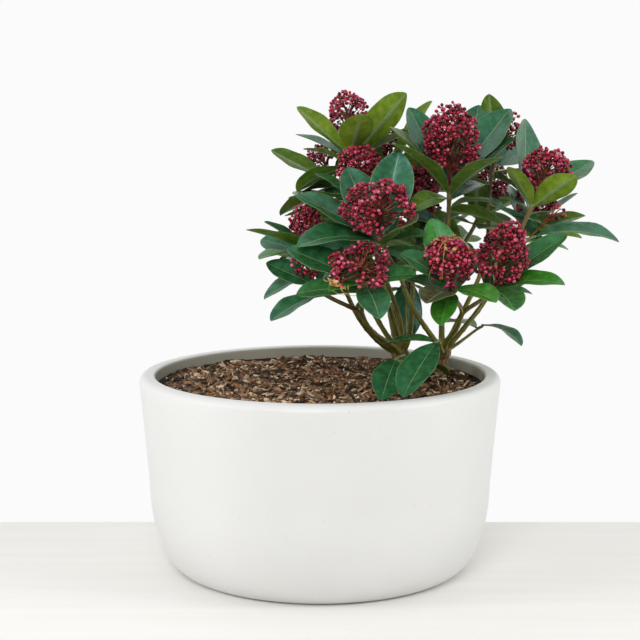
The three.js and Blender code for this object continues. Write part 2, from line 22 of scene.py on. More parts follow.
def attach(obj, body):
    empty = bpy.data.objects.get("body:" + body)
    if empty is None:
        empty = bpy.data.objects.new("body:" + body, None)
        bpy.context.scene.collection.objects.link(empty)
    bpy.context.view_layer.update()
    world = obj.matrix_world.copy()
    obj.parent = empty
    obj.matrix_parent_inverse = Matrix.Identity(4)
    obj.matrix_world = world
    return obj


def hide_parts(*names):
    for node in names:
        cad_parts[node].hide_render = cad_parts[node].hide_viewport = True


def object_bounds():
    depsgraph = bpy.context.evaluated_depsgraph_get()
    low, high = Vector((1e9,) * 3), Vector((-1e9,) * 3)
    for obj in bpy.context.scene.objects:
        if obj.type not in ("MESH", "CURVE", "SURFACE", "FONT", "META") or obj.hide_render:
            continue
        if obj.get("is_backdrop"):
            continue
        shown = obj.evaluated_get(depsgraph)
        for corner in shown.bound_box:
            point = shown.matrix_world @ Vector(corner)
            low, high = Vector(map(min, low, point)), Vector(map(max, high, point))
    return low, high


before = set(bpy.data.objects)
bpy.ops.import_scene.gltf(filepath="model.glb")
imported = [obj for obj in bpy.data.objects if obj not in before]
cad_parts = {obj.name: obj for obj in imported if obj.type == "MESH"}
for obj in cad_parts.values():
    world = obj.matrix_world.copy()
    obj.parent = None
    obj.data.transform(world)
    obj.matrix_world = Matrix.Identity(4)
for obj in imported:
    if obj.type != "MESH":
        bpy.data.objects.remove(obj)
cad_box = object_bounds()
MM = 0.001
print("the frame has", len(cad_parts), "nodes in a box of",
      [round((b - a) / MM) for a, b in zip(*cad_box)], "mm")

# %% [markdown]
# ## Camera, floor and light
#
# The camera looks slightly down with a long lens, so the pot's rim is a shallow ellipse. A plain pale
# table top ends a little behind the pot. The light is a small photo studio: a white backdrop and
# white side walls, a dimmer ceiling, and a dark room behind the camera. What makes a leaf look waxy
# is the pale wall that it mirrors on one side only, so an evenly white room would grey the dark
# leaves. A soft box high in front and one at each side light the white pot evenly and give each bud
# and leaf its glint.

# %% Camera
CAMERA_BACK = 1425  # from the middle of the pot
CAMERA_UP = 423
CAMERA_DOWN = 8.04  # degrees below level
LENS = 91.3

camera_data = bpy.data.cameras.new("camera")
camera_data.lens = LENS
camera = bpy.data.objects.new("camera", camera_data)
camera.location = (0, -CAMERA_BACK * MM, CAMERA_UP * MM)
camera.rotation_euler = (math.radians(90 - CAMERA_DOWN), 0, 0)
bpy.context.collection.objects.link(camera)
bpy.context.scene.camera = camera
print("the camera stands", CAMERA_BACK, "mm in front of the pot")

# %% [markdown]
# Colours are given as hex values, the way a paint chart gives them, and one function turns them into
# the linear numbers that the renderer adds and multiplies. Another small function adds a node to a
# material: its settings, its plain values and its links in one call, so that a material reads from
# top to bottom like a recipe.

# %% Colour and node helpers
def linear(hex_colour):
    """A hex colour as linear red, green, blue and alpha, by the sRGB curve."""
    parts = [int(hex_colour[i:i + 2], 16) / 255 for i in (0, 2, 4)]
    return (*[c / 12.92 if c <= 0.04045 else ((c + 0.055) / 1.055) ** 2.4 for c in parts], 1)


def add(tree, kind, values=None, stops=None, **settings):
    """Adds a shader node. values fills or links its inputs, and stops are the colours of a ramp.

    A node among the values stands for its first output.
    """
    made = tree.nodes.new("ShaderNode" + kind)
    for name, value in settings.items():
        setattr(made, name, value)
    for name, value in (values or {}).items():
        if isinstance(value, bpy.types.Node):
            value = value.outputs[0]
        if isinstance(value, bpy.types.NodeSocket):
            tree.links.new(value, made.inputs[name])
        else:
            made.inputs[name].default_value = value
    for k, (place, colour) in enumerate(stops or []):
        stop = made.color_ramp.elements[k] if k < 2 else made.color_ramp.elements.new(place)
        stop.position = place
        stop.color = linear(colour)
    return made


def new_material(name, colour, roughness, ior, **gloss):
    """A material with its shader set, whose node tree a recipe then fills in."""
    made = bpy.data.materials.new(name)
    made.use_nodes = True
    made.diffuse_color = linear(colour)
    shader = made.node_tree.nodes["Principled BSDF"]
    plain = {"Base Color": linear(colour), "Roughness": roughness, "IOR": ior, **gloss}
    for socket, value in plain.items():
        shader.inputs[socket].default_value = value
    return made, made.node_tree, shader


def three_tones(tree, pattern, colours, dark_to):
    """Turns a pattern from 0 to 1 into dark, middle and light tones, dark up to dark_to."""
    dark, middle, light = colours
    return add(tree, "ValToRGB", {"Fac": pattern}, [(dark_to, dark), (1 - dark_to, light), (0.5, middle)])


def set_bump(tree, shader, height, distance, strength=1.0):
    """Makes a height pattern raise the surface by some millimetres."""
    bump = add(tree, "Bump", {"Height": height, "Distance": distance * MM, "Strength": strength})
    tree.links.new(bump.outputs["Normal"], shader.inputs["Normal"])


def patchy(name, colours, size, roughness, bump, ior, noise, **gloss):
    """A material with three tones in patches about size millimetres across, which are also its bump."""
    made, tree, shader = new_material(name, colours[1], roughness, ior, **gloss)
    where = add(tree, "TexCoord")
    patch = add(tree, "TexNoise", {"Vector": where.outputs["Object"], "Scale": 0.5 / (size * MM), **noise})
    tone = three_tones(tree, patch, colours, 0.34)
    tree.links.new(tone.outputs[0], shader.inputs["Base Color"])
    set_bump(tree, shader, patch, bump)
    return made


# %% Mesh helpers
def make_piece(name, points, faces, materials, slots=None, smooth=True, places=None):
    """Builds a mesh object from points in millimetres. faces are lists of point numbers."""
    mesh = bpy.data.meshes.new(name)
    mesh.from_pydata(np.asarray(points) * MM, [], faces)
    for material in materials:
        mesh.materials.append(material)
    if slots is not None:
        mesh.polygons.foreach_set("material_index", np.asarray(slots, np.int32))
    mesh.polygons.foreach_set("use_smooth", np.full(len(mesh.polygons), smooth))
    if places is not None:
        layer = mesh.attributes.new("place", "FLOAT_VECTOR", "POINT")
        layer.data.foreach_set("vector", np.asarray(places, np.float32).ravel())
    mesh.update()
    made = bpy.data.objects.new(name, mesh)
    bpy.context.collection.objects.link(made)
    return made


class Heap:
    """Collects many small closed shapes, which then become one mesh."""

    def __init__(self):
        self.points, self.faces, self.slots, self.places, self.count = [], [], [], [], 0

    def put(self, points, faces, places=None, slots=0):
        """Adds one shape. slots is one number for its material, or one for each face."""
        self.points.append(points)
        self.faces.extend([[i + self.count for i in face] for face in faces])
        self.slots.extend([slots] * len(faces) if np.isscalar(slots) else slots)
        self.places.append(np.zeros((len(points), 3)) if places is None else places)
        self.count += len(points)

    def put_many(self, shapes, faces, slots):
        """shapes is an array of copies of one shape, each with its own points and slot."""
        copies, size = shapes.shape[:2]
        steps = np.arange(copies)[:, None, None] * size + self.count
        for polygons in faces:
            self.faces.extend((np.asarray(polygons)[None] + steps).reshape(-1, len(polygons[0])).tolist())
            self.slots.extend(np.repeat(slots, len(polygons)).tolist())
        self.points.append(shapes.reshape(-1, 3))
        self.places.append(np.zeros((copies * size, 3)))
        self.count += copies * size

    def build(self, name, materials, smooth=True):
        points, places = np.concatenate(self.points), np.concatenate(self.places)
        return make_piece(name, points, self.faces, materials, self.slots, smooth, places)


def dress(piece, slot, *nodes):
    """Ties a finished piece to the pot's body and hides the frame's nodes that it stands for. slot is not
    used.
    """
    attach(piece, "root")
    if nodes:
        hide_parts(*nodes)
    triangles = sum(len(p.vertices) - 2 for p in piece.data.polygons)
    print(f"{piece.name}: {triangles} triangles")


# %% Smooth noise
def ease(t):
    """A smooth step from 0 to 1."""
    return t * t * (3 - 2 * t)


NO_CELL_BELOW_0 = 1000  # the noise is read this many lumps away from its middle
SCRAMBLE = np.array([73856093, 19349663, 83492791])  # large odd numbers that make neighbours unlike
SEED_STEP = 2654435761
STIR = 1274126177


def lumps(points, size, seed):
    """Smooth noise from -1 to 1 at each point, with lumps about size millimetres across."""
    at = np.asarray(points, float) / size + NO_CELL_BELOW_0
    cell = np.floor(at).astype(np.int64)
    t = ease(at - cell)
    total = np.zeros(len(at))
    for corner in np.ndindex(2, 2, 2):
        key = (cell + corner) @ SCRAMBLE + seed * SEED_STEP
        key = (key ^ (key >> 13)) * STIR
        value = ((key ^ (key >> 16)) & 0xFFFF) / (0xFFFF / 2) - 1
        total += value * np.prod(np.where(corner, t, 1 - t), axis=1)
    return total


# %% Floor and light
TABLE_BACK = 139  # where the table top ends, behind the middle of the pot
TABLE_FRONT = -1600
TABLE_SIDE = 1500
TABLE_THICK = 40
GRAIN = (4, 60, 60)  # how many times the grain changes in a metre, along the boards and across

# Limed maple has its pores filled with white, so the grain barely shows and the floor stays plain.
table_x, table_y = np.array([-1, 1, 1, -1]) * TABLE_SIDE, [TABLE_FRONT] * 2 + [TABLE_BACK] * 2
corners = [[x, y, z] for z in (-TABLE_THICK, 0) for x, y in zip(table_x, table_y)]
sides = [[0, 3, 2, 1], [4, 5, 6, 7], [0, 1, 5, 4], [1, 2, 6, 5], [2, 3, 7, 6], [3, 0, 4, 7]]
limed_wood, tree, shader = new_material("limed maple", "EBE9E5", 0.6, 1.45)
where = add(tree, "TexCoord")
stretched = add(tree, "Mapping", {"Vector": where.outputs["Object"], "Scale": GRAIN})
grain = add(tree, "TexNoise", {"Vector": stretched, "Scale": 1.0, "Detail": 4.0})
tone = add(tree, "ValToRGB", {"Fac": grain}, [(0.3, "EAE8E2"), (0.7, "EEEDEA")])
tree.links.new(tone.outputs[0], shader.inputs["Base Color"])
table = make_piece("table_top", corners, sides, [limed_wood], smooth=False)
table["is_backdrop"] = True

WALLS = 0.965  # how bright the white walls are
CEILING = 0.75
FAR_SIDE = 0.2  # the share of that light that is left behind the camera
CEILING_BAND = (0.3, 0.95)  # from level (0) to straight up (1), where walls turn to ceiling
FAR_BAND = (-0.8, 0.1)  # from behind the camera (-1) to the backdrop (1), where the dark ends
PLANT_MIDDLE = Vector((60, 0, 220))  # where the lamps point
LAMPS = {  # watts, place and width of each soft box
    "front_lamp": (24.0, (-300, -2000, 1300), 1000),
    "left_lamp": (5.2, (-1200, -500, 700), 400),
    "right_lamp": (5.8, (1200, -500, 700), 400),
}

world = bpy.data.worlds.new("white_room")
world.use_nodes = True
tree = world.node_tree
toward = add(tree, "TexCoord")
height = add(tree, "SeparateXYZ", {"Vector": toward.outputs["Generated"]})
glow = add(tree, "MapRange", {"Value": height.outputs["Z"], "From Min": CEILING_BAND[0],
                              "From Max": CEILING_BAND[1], "To Min": WALLS, "To Max": CEILING})
fall = add(tree, "MapRange", {"Value": height.outputs["Y"], "From Min": FAR_BAND[0],
                              "From Max": FAR_BAND[1], "To Min": FAR_SIDE, "To Max": 1.0})
shine = add(tree, "Math", {0: glow, 1: fall}, operation="MULTIPLY")
tree.nodes["Background"].inputs["Color"].default_value = (1, 1, 1, 1)
tree.links.new(shine.outputs[0], tree.nodes["Background"].inputs["Strength"])
bpy.context.scene.world = world
bpy.context.scene.view_settings.view_transform = "Standard"

for name, (watts, at, across) in LAMPS.items():
    lamp_data = bpy.data.lights.new(name, "AREA")
    lamp_data.energy = watts
    lamp_data.size = across * MM
    lamp = bpy.data.objects.new(name, lamp_data)
    lamp.location = Vector(at) * MM
    lamp.rotation_euler = (PLANT_MIDDLE * MM - lamp.location).to_track_quat("-Z", "Y").to_euler()
    bpy.context.collection.objects.link(lamp)
print(len(LAMPS), "soft boxes in a white room")

# %% [markdown]
# ## The table of the plant
#
# The numbers here are the plant's plan: the pot, two woody stools that stand in the compost, and the
# boughs that rise from them. A shoot has the middle of its flower head (at), the head's width and
# height (size), its lean to +X and +Y for each step up, the headings of its leaves from the top down
# (ways, in degrees round from +X), how steeply the top leaf climbs (rise), the length of its leaves
# (long), how many there are under the head and further down, and the tones of its leaves in the same
# order: d for dark, m for mid, b for bright green, y for yellowish and z for a bronze flush. A leaf
# that shows well has four or five numbers in place of its heading: heading, climb, length, how far
# it droops to its tip, and how far it rolls to one side. taper makes a head wider below (less than
# 0) or above. loose is the share of flower stalks that a thin head lacks, bare_ways are the sides
# of a head that are left open, and dried is the side where old bits cling. Each bough has its name,
# its stool, and the share of its way at which it forks. In the code that follows, s is one shoot.

# %% Sizes
GAP = 0.3  # between a stem's tip and the twig above it
GOLDEN_ANGLE = 137.5
POT = dict(rim=160, height=175, wall=14, shoulder=152, shoulder_height=79, foot=118, lip=6)
SOIL = dict(level=165, bump=1.6, mound=6, mound_top=15, mound_foot=34)
STOOLS = {
    "left": dict(foot=(74, 72), lean=(1, -1), raised=1, height=15, neck=5.5, flare=9, knob=8),
    "right": dict(foot=(108, 22), lean=(3, -2), raised=0, height=27, neck=5, flare=9, knob=8.5),
}
# foot, tip and twig are radii, spur the share of them that a side shoot has, spacing the degrees
# between two stems, lift and steepen how far they turn up, and pieces the straight parts of a twig.
STEM = dict(foot=2.5, tip=2.0, twig=1.8, spur=0.62, pieces=4, spacing=38, lowest=0.12, lift=0.35,
            steepen=0.5, sag=6, stub=7, handle=0.28)
ARM = dict(foot=STEM["twig"] * 1.1, sunk=2)
SPUR_FORK = 0.7
# width is the share of a leaf's length, fold the angle at its midrib, drop how much less the lowest
# leaf of a whorl climbs, and more how much more it arches. LOWER is for leaves further down a twig.
LEAF = dict(width=0.45, thick=0.9, stalk=1.9, sunk=1.2, fold=15, whorl=14, drop=44, arch=-6, more=42)
LOWER = dict(top=0.75, over=0.4, least=0.05, rise=32, less=6)
VARY = dict(long=0.1, heading=6, rise=5, roll=14, wide=0.1, arch=8)  # how far chance moves a leaf
# firm is the share of a head that leaves keep out of, bumps how far its knobs stand out.
HEAD = dict(bumps=0.05, knobs=6, taper=0.12, firm=0.72, stalk=6, foot=1.5, sunk=1.4)
SEEDS = dict(stems=100, twigs=200, leaves=300, heads=400)  # each with its bough's number added

# %% Boughs and their shoots
def shoot(at, size, lean, rise, long, ways, leaves, lower, tones, **more):
    """A row of the table. more holds what only some shoots have."""
    return dict(at=np.array(at, float), size=size, lean=lean, rise=rise, long=long, ways=ways, leaves=leaves,
                lower=lower, tones=tones, **more)


BOUGHS = {
    ("front_middle", "right", 0.62): [
        shoot((50, -61, 323), (69, 44), (-0.1, -0.6), 52, 72, [(73, 40, 79, -8), (109, 55, 76, 0),
              (158, 32, 84, 10, 12), (331, 34, 48, 20), (207, 43, 84, 50), (294, 39, 77, 14),
              (305, 22, 55, 30), 90, 160], 9, 0, "dddmdzmdd", loose=0.7,
              bare_ways=[(0.25, -0.75, 0.6), (0.7, -0.6, -0.5)]),
    ],
    ("top", "right", 0.55): [
        shoot((114, 0, 381), (52, 70), (0, -0.15), 64, 72, [(38, 40, 96, 0), (137, 53, 83, 0), 185,
              (64, 24, 106, -40), (18, 42, 78, 10), (219, 50, 86, 22), (315, 48, 74, 22),
              (236, 24, 58, 50), 60, (329, 36, 58, 55), 130, 170], 9, 3, "ddydddmyddmd", taper=-0.22,
              bare_ways=[(-0.25, -0.75, -0.6), (0.45, -0.8, -0.15)]),
    ],
    ("upper_left", "left", 0.62): [
        shoot((25, 52, 398), (37, 54), (-0.1, 0.25), 58, 70, [(279, 18, 70, 0), (200, 44, 68, 0),
              (354, 44, 78, 0, -40), (35, 33, 75, 10), (161, 44, 65, 20), (184, 36, 49, 25), 110, 60, 85],
              8, 1, "yyyddmdmd", loose=0.4, bare_ways=[(0.1, -0.9, 0.3)]),
    ],
    ("upper_right", "right", 0.6): [
        shoot((203, -24, 318), (17, 19), (1, -0.2), 72, 84, [(350, 67, 81, 46)], 1, 0, "d", stalk=22,
              roll=22, loose=0.4),
        shoot((196, -10, 353), (45, 46), (0.4, 0.1), 60, 72, [(41, 48, 79, 0), (224, 23, 55, 0),
              (295, 40, 59, 0), (153, 18, 34, 30), (123, 51, 100, -8), 75, 45, 150], 7, 1, "myyddmdd",
              taper=0.2, bare_ways=[(-0.2, -0.9, 0)]),
    ],
    ("front_right", "right", 0.6): [
        shoot((108, -94, 284), (44, 44), (-0.05, -0.5), 48, 56, [(102, 37, 63, 0), (165, 39, 53, 20),
              (305, 28, 60, 25), (246, 34, 60, 25), (252, 16, 50, 35), 75, 130], 7, 0, "bmbzbmm", stalk=2,
              drop=36, dried=(-0.2, -0.5, 0.85)),
        shoot((154, -78, 288), (46, 58), (0.25, -0.4), 50, 70, [(128, 29, 67, 0, 45), (27, 45, 78, 5),
              (336, 49, 66, 45), (280, 42, 67, 40), (26, 16, 44, 30), 90, 60], 7, 0, "bmbmmdd", stalk=2,
              drop=36, taper=-0.3, bare_ways=[(0.35, -0.8, -0.35)]),
    ],
    ("left", "left", 0.6): [
        shoot((-10, -14, 305), (34, 41), (-0.4, -0.3), 46, 62, [(188, 67, 59, 0), (208, 56, 78, 10),
              (223, 44, 69, 30), 150, 90, 120, 30, 60, 200], 8, 1, "ddbdmddmd"),
    ],
    ("front_left", "left", 0.62): [
        shoot((35, -95, 279), (60, 28), (-0.15, -0.6), 44, 58, [(149, 32, 73, 5), (350, 28, 47, 30),
              (222, 40, 42, 30), (280, 30, 61, 40), 105, 180, 60], 7, 0, "dmbddmd", stalk=2, drop=36,
              loose=0.3, dried=(-0.75, -0.5, -0.45), bare_ways=[(0.45, -0.7, 0.5)]),
        shoot((-12, -54, 277), (24, 34), (-0.5, -0.4), 40, 54, [160], 6, 0, "dmd"),
    ],
    ("middle_left", "left", 0.6): [
        shoot((34, 10, 354), (42, 44), (-0.2, 0), 50, 60, [(189, 24, 70, 20), 160, 95, 130, 60, 200, 30],
              7, 1, "dm"),
    ],
    ("middle", "left", 0.6): [
        shoot((89, 46, 329), (42, 60), (0, -0.1), 50, 60, [80], 7, 1, "dm"),
    ],
    ("back_left", "left", 0.6): [
        shoot((3, 90, 360), (28, 32), (-0.4, 0.3), 46, 62, [190], 8, 1, "dm"),
        shoot((-6, 96, 300), (36, 40), (-0.7, 0.3), 46, 58, [150], 8, 1, "dm"),
    ],
    ("back", "left", 0.6): [
        shoot((62, 112, 370), (34, 38), (-0.1, 0.4), 50, 68, [(346, 58, 81, 0), 205, 100, 345, 150, 60,
              300, 250], 8, 2, "ydd"),
        shoot((36, 146, 314), (40, 42), (-0.3, 0.7), 46, 62, [130], 8, 1, "dm"),
    ],
    ("back_middle", "right", 0.6): [
        shoot((160, 128, 332), (42, 46), (0.35, 0.55), 50, 62, [60], 8, 2, "dm"),
        shoot((102, 152, 296), (42, 42), (0, 0.9), 44, 62, [100], 8, 1, "dm"),
    ],
    ("back_right", "right", 0.6): [
        shoot((169, 70, 384), (32, 44), (0.35, 0.1), 46, 70, [225, 95, 60, 140, 30, 200, 300, 75, 330], 8,
              1, "ddddmdddd", loose=0.3),
        shoot((198, 68, 322), (40, 44), (0.4, 0.25), 54, 64, [20, 130, 75, 335, 170], 8, 1, "mdb"),
    ],
}

# Side shoots without flower buds: stool, tip, headings, rise, drop and length of their leaves.
SPURS = {
    "low_front": ("right", (101, -64, 214), [(240, -22, 76, 20), 160], -36, -50, 50),
    "low_right": ("right", (148, 36, 212), [(323, 8, 47, 55), 120], 10, 0, 56),
    "low_left": ("left", (65, -58, 197), [(256, -15, 63, 20), 40], -22, -30, 68),
    "low_back": ("left", (84, 112, 250), [262, 30, 150], -52, -40, 62),
}
print(len(BOUGHS), "boughs and", len(SPURS), "spurs")

# %% [markdown]
# ## Curves, stems and twigs
#
# A stem leaves its stool in one direction and reaches its fork in another. A cubic curve with one
# handle for each direction does just that, and walking it by its length, not by its own parameter,
# keeps rings and leaves evenly spaced. A tube needs a pair of directions square to the curve at each
# ring. They are carried from ring to ring and only tilted, so the tube never twists or pinches.

# %% Curves
UP = np.array([0.0, 0.0, 1.0])
WALKED = np.linspace(0, 1, 201)  # where a curve is measured to walk it by its length


def unit(v):
    return v / np.linalg.norm(v)


def square_to(direction):
    """Two unit vectors square to a direction and to each other."""
    steep = abs(direction[2]) >= 0.9
    first = unit(np.cross([1.0, 0.0, 0.0] if steep else UP, direction))
    return first, np.cross(direction, first)


class Curve:
    """A cubic curve through four handles, walked by its length."""

    def __init__(self, *handles):
        self.handles = np.array(handles, float)
        steps = np.linalg.norm(np.diff(self.raw(WALKED), axis=0), axis=1)
        self.table = np.concatenate([[0], np.cumsum(steps)])
        self.length = self.table[-1]

    def raw(self, t):
        t = np.asarray(t, float)[..., None]
        a, b, c, d = self.handles
        return a * (1 - t) ** 3 + 3 * b * t * (1 - t) ** 2 + 3 * c * t * t * (1 - t) + d * t ** 3

    def t_at(self, share):
        return np.interp(np.asarray(share) * self.length, self.table, WALKED)

    def at(self, share):
        return self.raw(self.t_at(share))

    def along(self, share):
        """The direction of the curve, over a very short way."""
        t = self.t_at(share)
        return unit(self.raw(min(t + 1e-4, 1)) - self.raw(max(t - 1e-4, 0)))


def bend(start, leaving, end, arriving, handle=STEM["handle"]):
    """A curve that leaves one point along a direction and reaches another along a second one."""
    handle = np.linalg.norm(end - start) * handle
    return Curve(start, start + leaving * handle, end - arriving * handle, end)


def straight(start, end):
    return Curve(start, start + (end - start) / 3, start + (end - start) * 2 / 3, end)


def rings_along(curve, steps):
    """Points and square directions at even steps along a curve."""
    first = square_to(curve.along(0))[0]
    rings = []
    for share in np.linspace(0, 1, steps + 1):
        along = curve.along(share)
        first = unit(first - along * (first @ along))
        rings.append((curve.at(share), first, np.cross(along, first)))
    return rings


# %% Tubes
def angles_round(count):
    return np.arange(count) * math.tau / count


def ring_at(radius, angles, z):
    """Points round the Z axis. radius and z are one number each, or one for each angle."""
    return np.stack([radius * np.cos(angles), radius * np.sin(angles), np.full(len(angles), z)], 1)


def band(low, high):
    """The faces between two rings of point numbers."""
    return np.stack([low, np.roll(low, -1), np.roll(high, -1), high], 1).tolist()


def tapering(r0, r1):
    """A radius for a tube that goes evenly from r0 to r1."""
    return lambda share, angles: r0 + (r1 - r0) * share


def tube(curve, radius, sides, steps, turn=0.0):
    """A closed tube. radius is a function of the share along it and the angles round it."""
    angles = angles_round(sides) + math.radians(turn)
    points = []
    for share, (centre, first, second) in zip(np.linspace(0, 1, steps + 1), rings_along(curve, steps)):
        r = np.broadcast_to(radius(share, angles), angles.shape)[:, None]
        points.append(centre + r * (np.cos(angles)[:, None] * first + np.sin(angles)[:, None] * second))
    ring = np.arange(sides)
    faces = []
    for k in range(steps):
        faces += band(ring + k * sides, ring + (k + 1) * sides)
    faces += [ring[::-1].tolist(), (ring + steps * sides).tolist()]
    return np.concatenate(points), faces


# %% [markdown]
# The plan of the stems comes next: where each leaves its stool, where it forks, and where the neck
# under each flower head is. Stems from one stool would run into each other, so their first directions
# are pushed apart a little at a time until every pair has room, much as crowded shoots do.

# %% Plan of the stems
ROUNDS = 400  # of pushing
PUSH = 0.3  # the share of the lack of room that one push makes up


def mound_top(name):
    return SOIL["level"] + SOIL["mound"] + STOOLS[name]["raised"]


def knob_of(name):
    """The middle of the swollen top of a stool."""
    stool = STOOLS[name]
    x, y = np.add(stool["foot"], stool["lean"])
    return np.array([x, y, mound_top(name) + GAP + stool["height"] - stool["knob"]])


def axis_of(s):
    """The way in which a shoot and its flower head point."""
    return unit(np.array([*s.get("lean", (0, 0)), 1.0]))


def neck_of(s):
    """Where a shoot's twig ends, a bare stalk's length under its flower head."""
    return s["at"] - axis_of(s) * (s["size"][1] / 2 + s.get("stalk", HEAD["stalk"]))


def spread_out(headings):
    """Pushes unit vectors apart until each pair is far enough from the other."""
    least = math.radians(STEM["spacing"])
    for _ in range(ROUNDS):
        for i, a in enumerate(headings):
            for b in headings[i + 1:]:
                between = math.acos(max(-1.0, min(1.0, a @ b)))
                if between < least:
                    away = unit(a - b) * (least - between) * PUSH
                    a += away
                    b -= away
                    a /= np.linalg.norm(a)
                    b /= np.linalg.norm(b)
        for a in headings:
            a[2] = max(a[2], STEM["lowest"])
            a /= np.linalg.norm(a)


def plan_stems():
    """Every bough and spur with its curve, from its stool to its fork."""
    stems = []
    for (name, stool, fork), shoots in BOUGHS.items():
        stems.append(dict(name=name, stool=stool, share=fork, shoots=shoots, bare=False,
                          necks=[neck_of(s) for s in shoots]))
    for name, (stool, at, ways, rise, drop, long) in SPURS.items():
        spur = dict(ways=ways, rise=rise, drop=drop, long=long, leaves=len(ways), lower=0, tones="dm")
        stems.append(dict(name=name, stool=stool, share=SPUR_FORK, shoots=[spur], bare=True,
                          necks=[np.array(at, float)]))
    for stem in stems:
        stem["thin"] = STEM["spur"] if stem["bare"] else 1
        stem["middle"] = np.mean(stem["necks"], axis=0)
        heading = unit(stem["middle"] - knob_of(stem["stool"]))
        stem["heading"] = heading if stem["bare"] else unit(heading + UP * STEM["lift"])
    for stool in STOOLS:
        spread_out([stem["heading"] for stem in stems if stem["stool"] == stool])
    for stem in stems:
        foot = knob_of(stem["stool"]) + stem["heading"] * (STOOLS[stem["stool"]]["knob"] + GAP)
        across = stem["middle"] - foot
        stem["rising"] = unit(across)
        stem["tip"] = foot + across * stem["share"]
        if not stem["bare"]:
            stem["rising"] = unit(stem["rising"] + UP * STEM["steepen"])
            stem["tip"] = stem["tip"] - UP * STEM["sag"]
        stem["curve"] = bend(foot, stem["heading"], stem["tip"], stem["rising"])
    return stems


stems = plan_stems()
print("the longest stem runs", round(max(stem["curve"].length for stem in stems)), "mm to its fork")

# %% [markdown]
# ## The leaves' rule
#
# Every leaf is planned from the table: a whorl under each head, and a few below it. Chance moves each
# one a little, and it is the same chance every time, because it comes from a sine of the shoot's and
# the leaf's numbers. A leaf that would touch another shoot, a stem or the pot is turned a little, in
# a fixed order of tries, and left out when nothing helps. Trees of boxes (BVH trees) answer the
# question "do these two touch" fast enough to ask it for every pair.

# %% Chance and leaf shape
STATIONS = np.array([0, 0.08, 0.36, 0.74, 1])  # where the frame's leaves have their points
STALK_END = 0.1  # the share of a leaf that is as thick as its stalk
BLADE_STARTS = 0.06  # the share at which a leaf begins to widen
BLADE_CLEAR = 0.2  # the share past which it may not touch its own shoot
WIDENS, NARROWS, WIDEST = 0.95, 0.72, 0.319  # t**0.95 * (1 - t)**0.72 is 0.319 at most
WAVES = (12.9898, 78.233, 37.719)  # a sine of such steps, stretched, looks like chance
STRETCH = 43758.5453


def chance(shoot_id, leaf, use):
    """A number from 0 to 1 that is the same each time for the same three numbers."""
    wave = math.sin(shoot_id * WAVES[0] + leaf * WAVES[1] + use * WAVES[2] + 1) * STRETCH
    return wave - math.floor(wave)


def varied(shoot_id, leaf, measure):
    """How far chance moves one measure of a leaf, up or down."""
    return VARY[measure] * (2 * chance(shoot_id, leaf, list(VARY).index(measure) + 1) - 1)


def half_width(share, full, least):
    """Half a leaf's width: a narrow stalk, then a blade that is widest past its middle."""
    blade = np.clip((np.asarray(share) - BLADE_STARTS) / (1 - BLADE_STARTS), 0, 1)
    return np.maximum(least, full * blade ** WIDENS * (1 - blade) ** NARROWS / WIDEST)


def leaf_line(leaf, share):
    """The middle line of an arching leaf, and the direction that its upper side faces there."""
    bent = math.radians(leaf["arch"] if abs(leaf["arch"]) >= 1 else 1)  # never divided by 0
    turn = (bent * np.asarray(share))[..., None]
    ahead = leaf["long"] * np.sin(turn) / bent - LEAF["sunk"]
    down = leaf["long"] * (1 - np.cos(turn)) / bent
    centre = leaf["root"] + leaf["out"] * ahead - leaf["up"] * down
    return centre, leaf["up"] * np.cos(turn) + leaf["out"] * np.sin(turn)


def plain_leaf(leaf, start=0.0, extra=0.0):
    """The leaf as the frame has it, with four points to a ring, as points and faces."""
    share = start + (1 - start) * STATIONS[:, None]
    centre, normal = leaf_line(leaf, share)
    edge, face = np.array([-1.0, 0, 1, 0]), np.array([0, 1.0, 0, -1])
    half = half_width(share, leaf["wide"] / 2, LEAF["stalk"] / 2)
    lift = np.abs(edge) * half * math.tan(math.radians(LEAF["fold"]))
    depth = np.where(share < STALK_END, LEAF["stalk"], LEAF["thick"]) / 2 + extra
    side = np.cross(leaf["up"], leaf["out"])
    across = (edge * (half + extra))[..., None] * side
    points = centre + across + (lift + face * depth)[..., None] * normal
    points[0], points[-1] = centre[0], centre[-1]
    faces = []
    for low in (4 * r + k for r in range(4) for k in range(4)):
        beside = low + 1 if low % 4 < 3 else low - 3
        faces += [[low, beside, beside + 4], [low, beside + 4, low + 4]]
    return points.reshape(-1, 3), faces


# %% What each shoot wants
def on_twig(curve, share):
    """A point on the straight pieces that the frame's twig is made of."""
    piece = min(math.floor(share * STEM["pieces"]), STEM["pieces"] - 1)
    start, end = curve.at(piece / STEM["pieces"]), curve.at((piece + 1) / STEM["pieces"])
    return start + (end - start) * (share * STEM["pieces"] - piece)


def way_of(ways, leaf):
    """A heading from the table, or from the golden angle past its end."""
    past = leaf - len(ways) + 1
    last = ways[-1][0] if isinstance(ways[-1], tuple) else ways[-1]
    return ways[leaf] if past <= 0 else last + GOLDEN_ANGLE * past


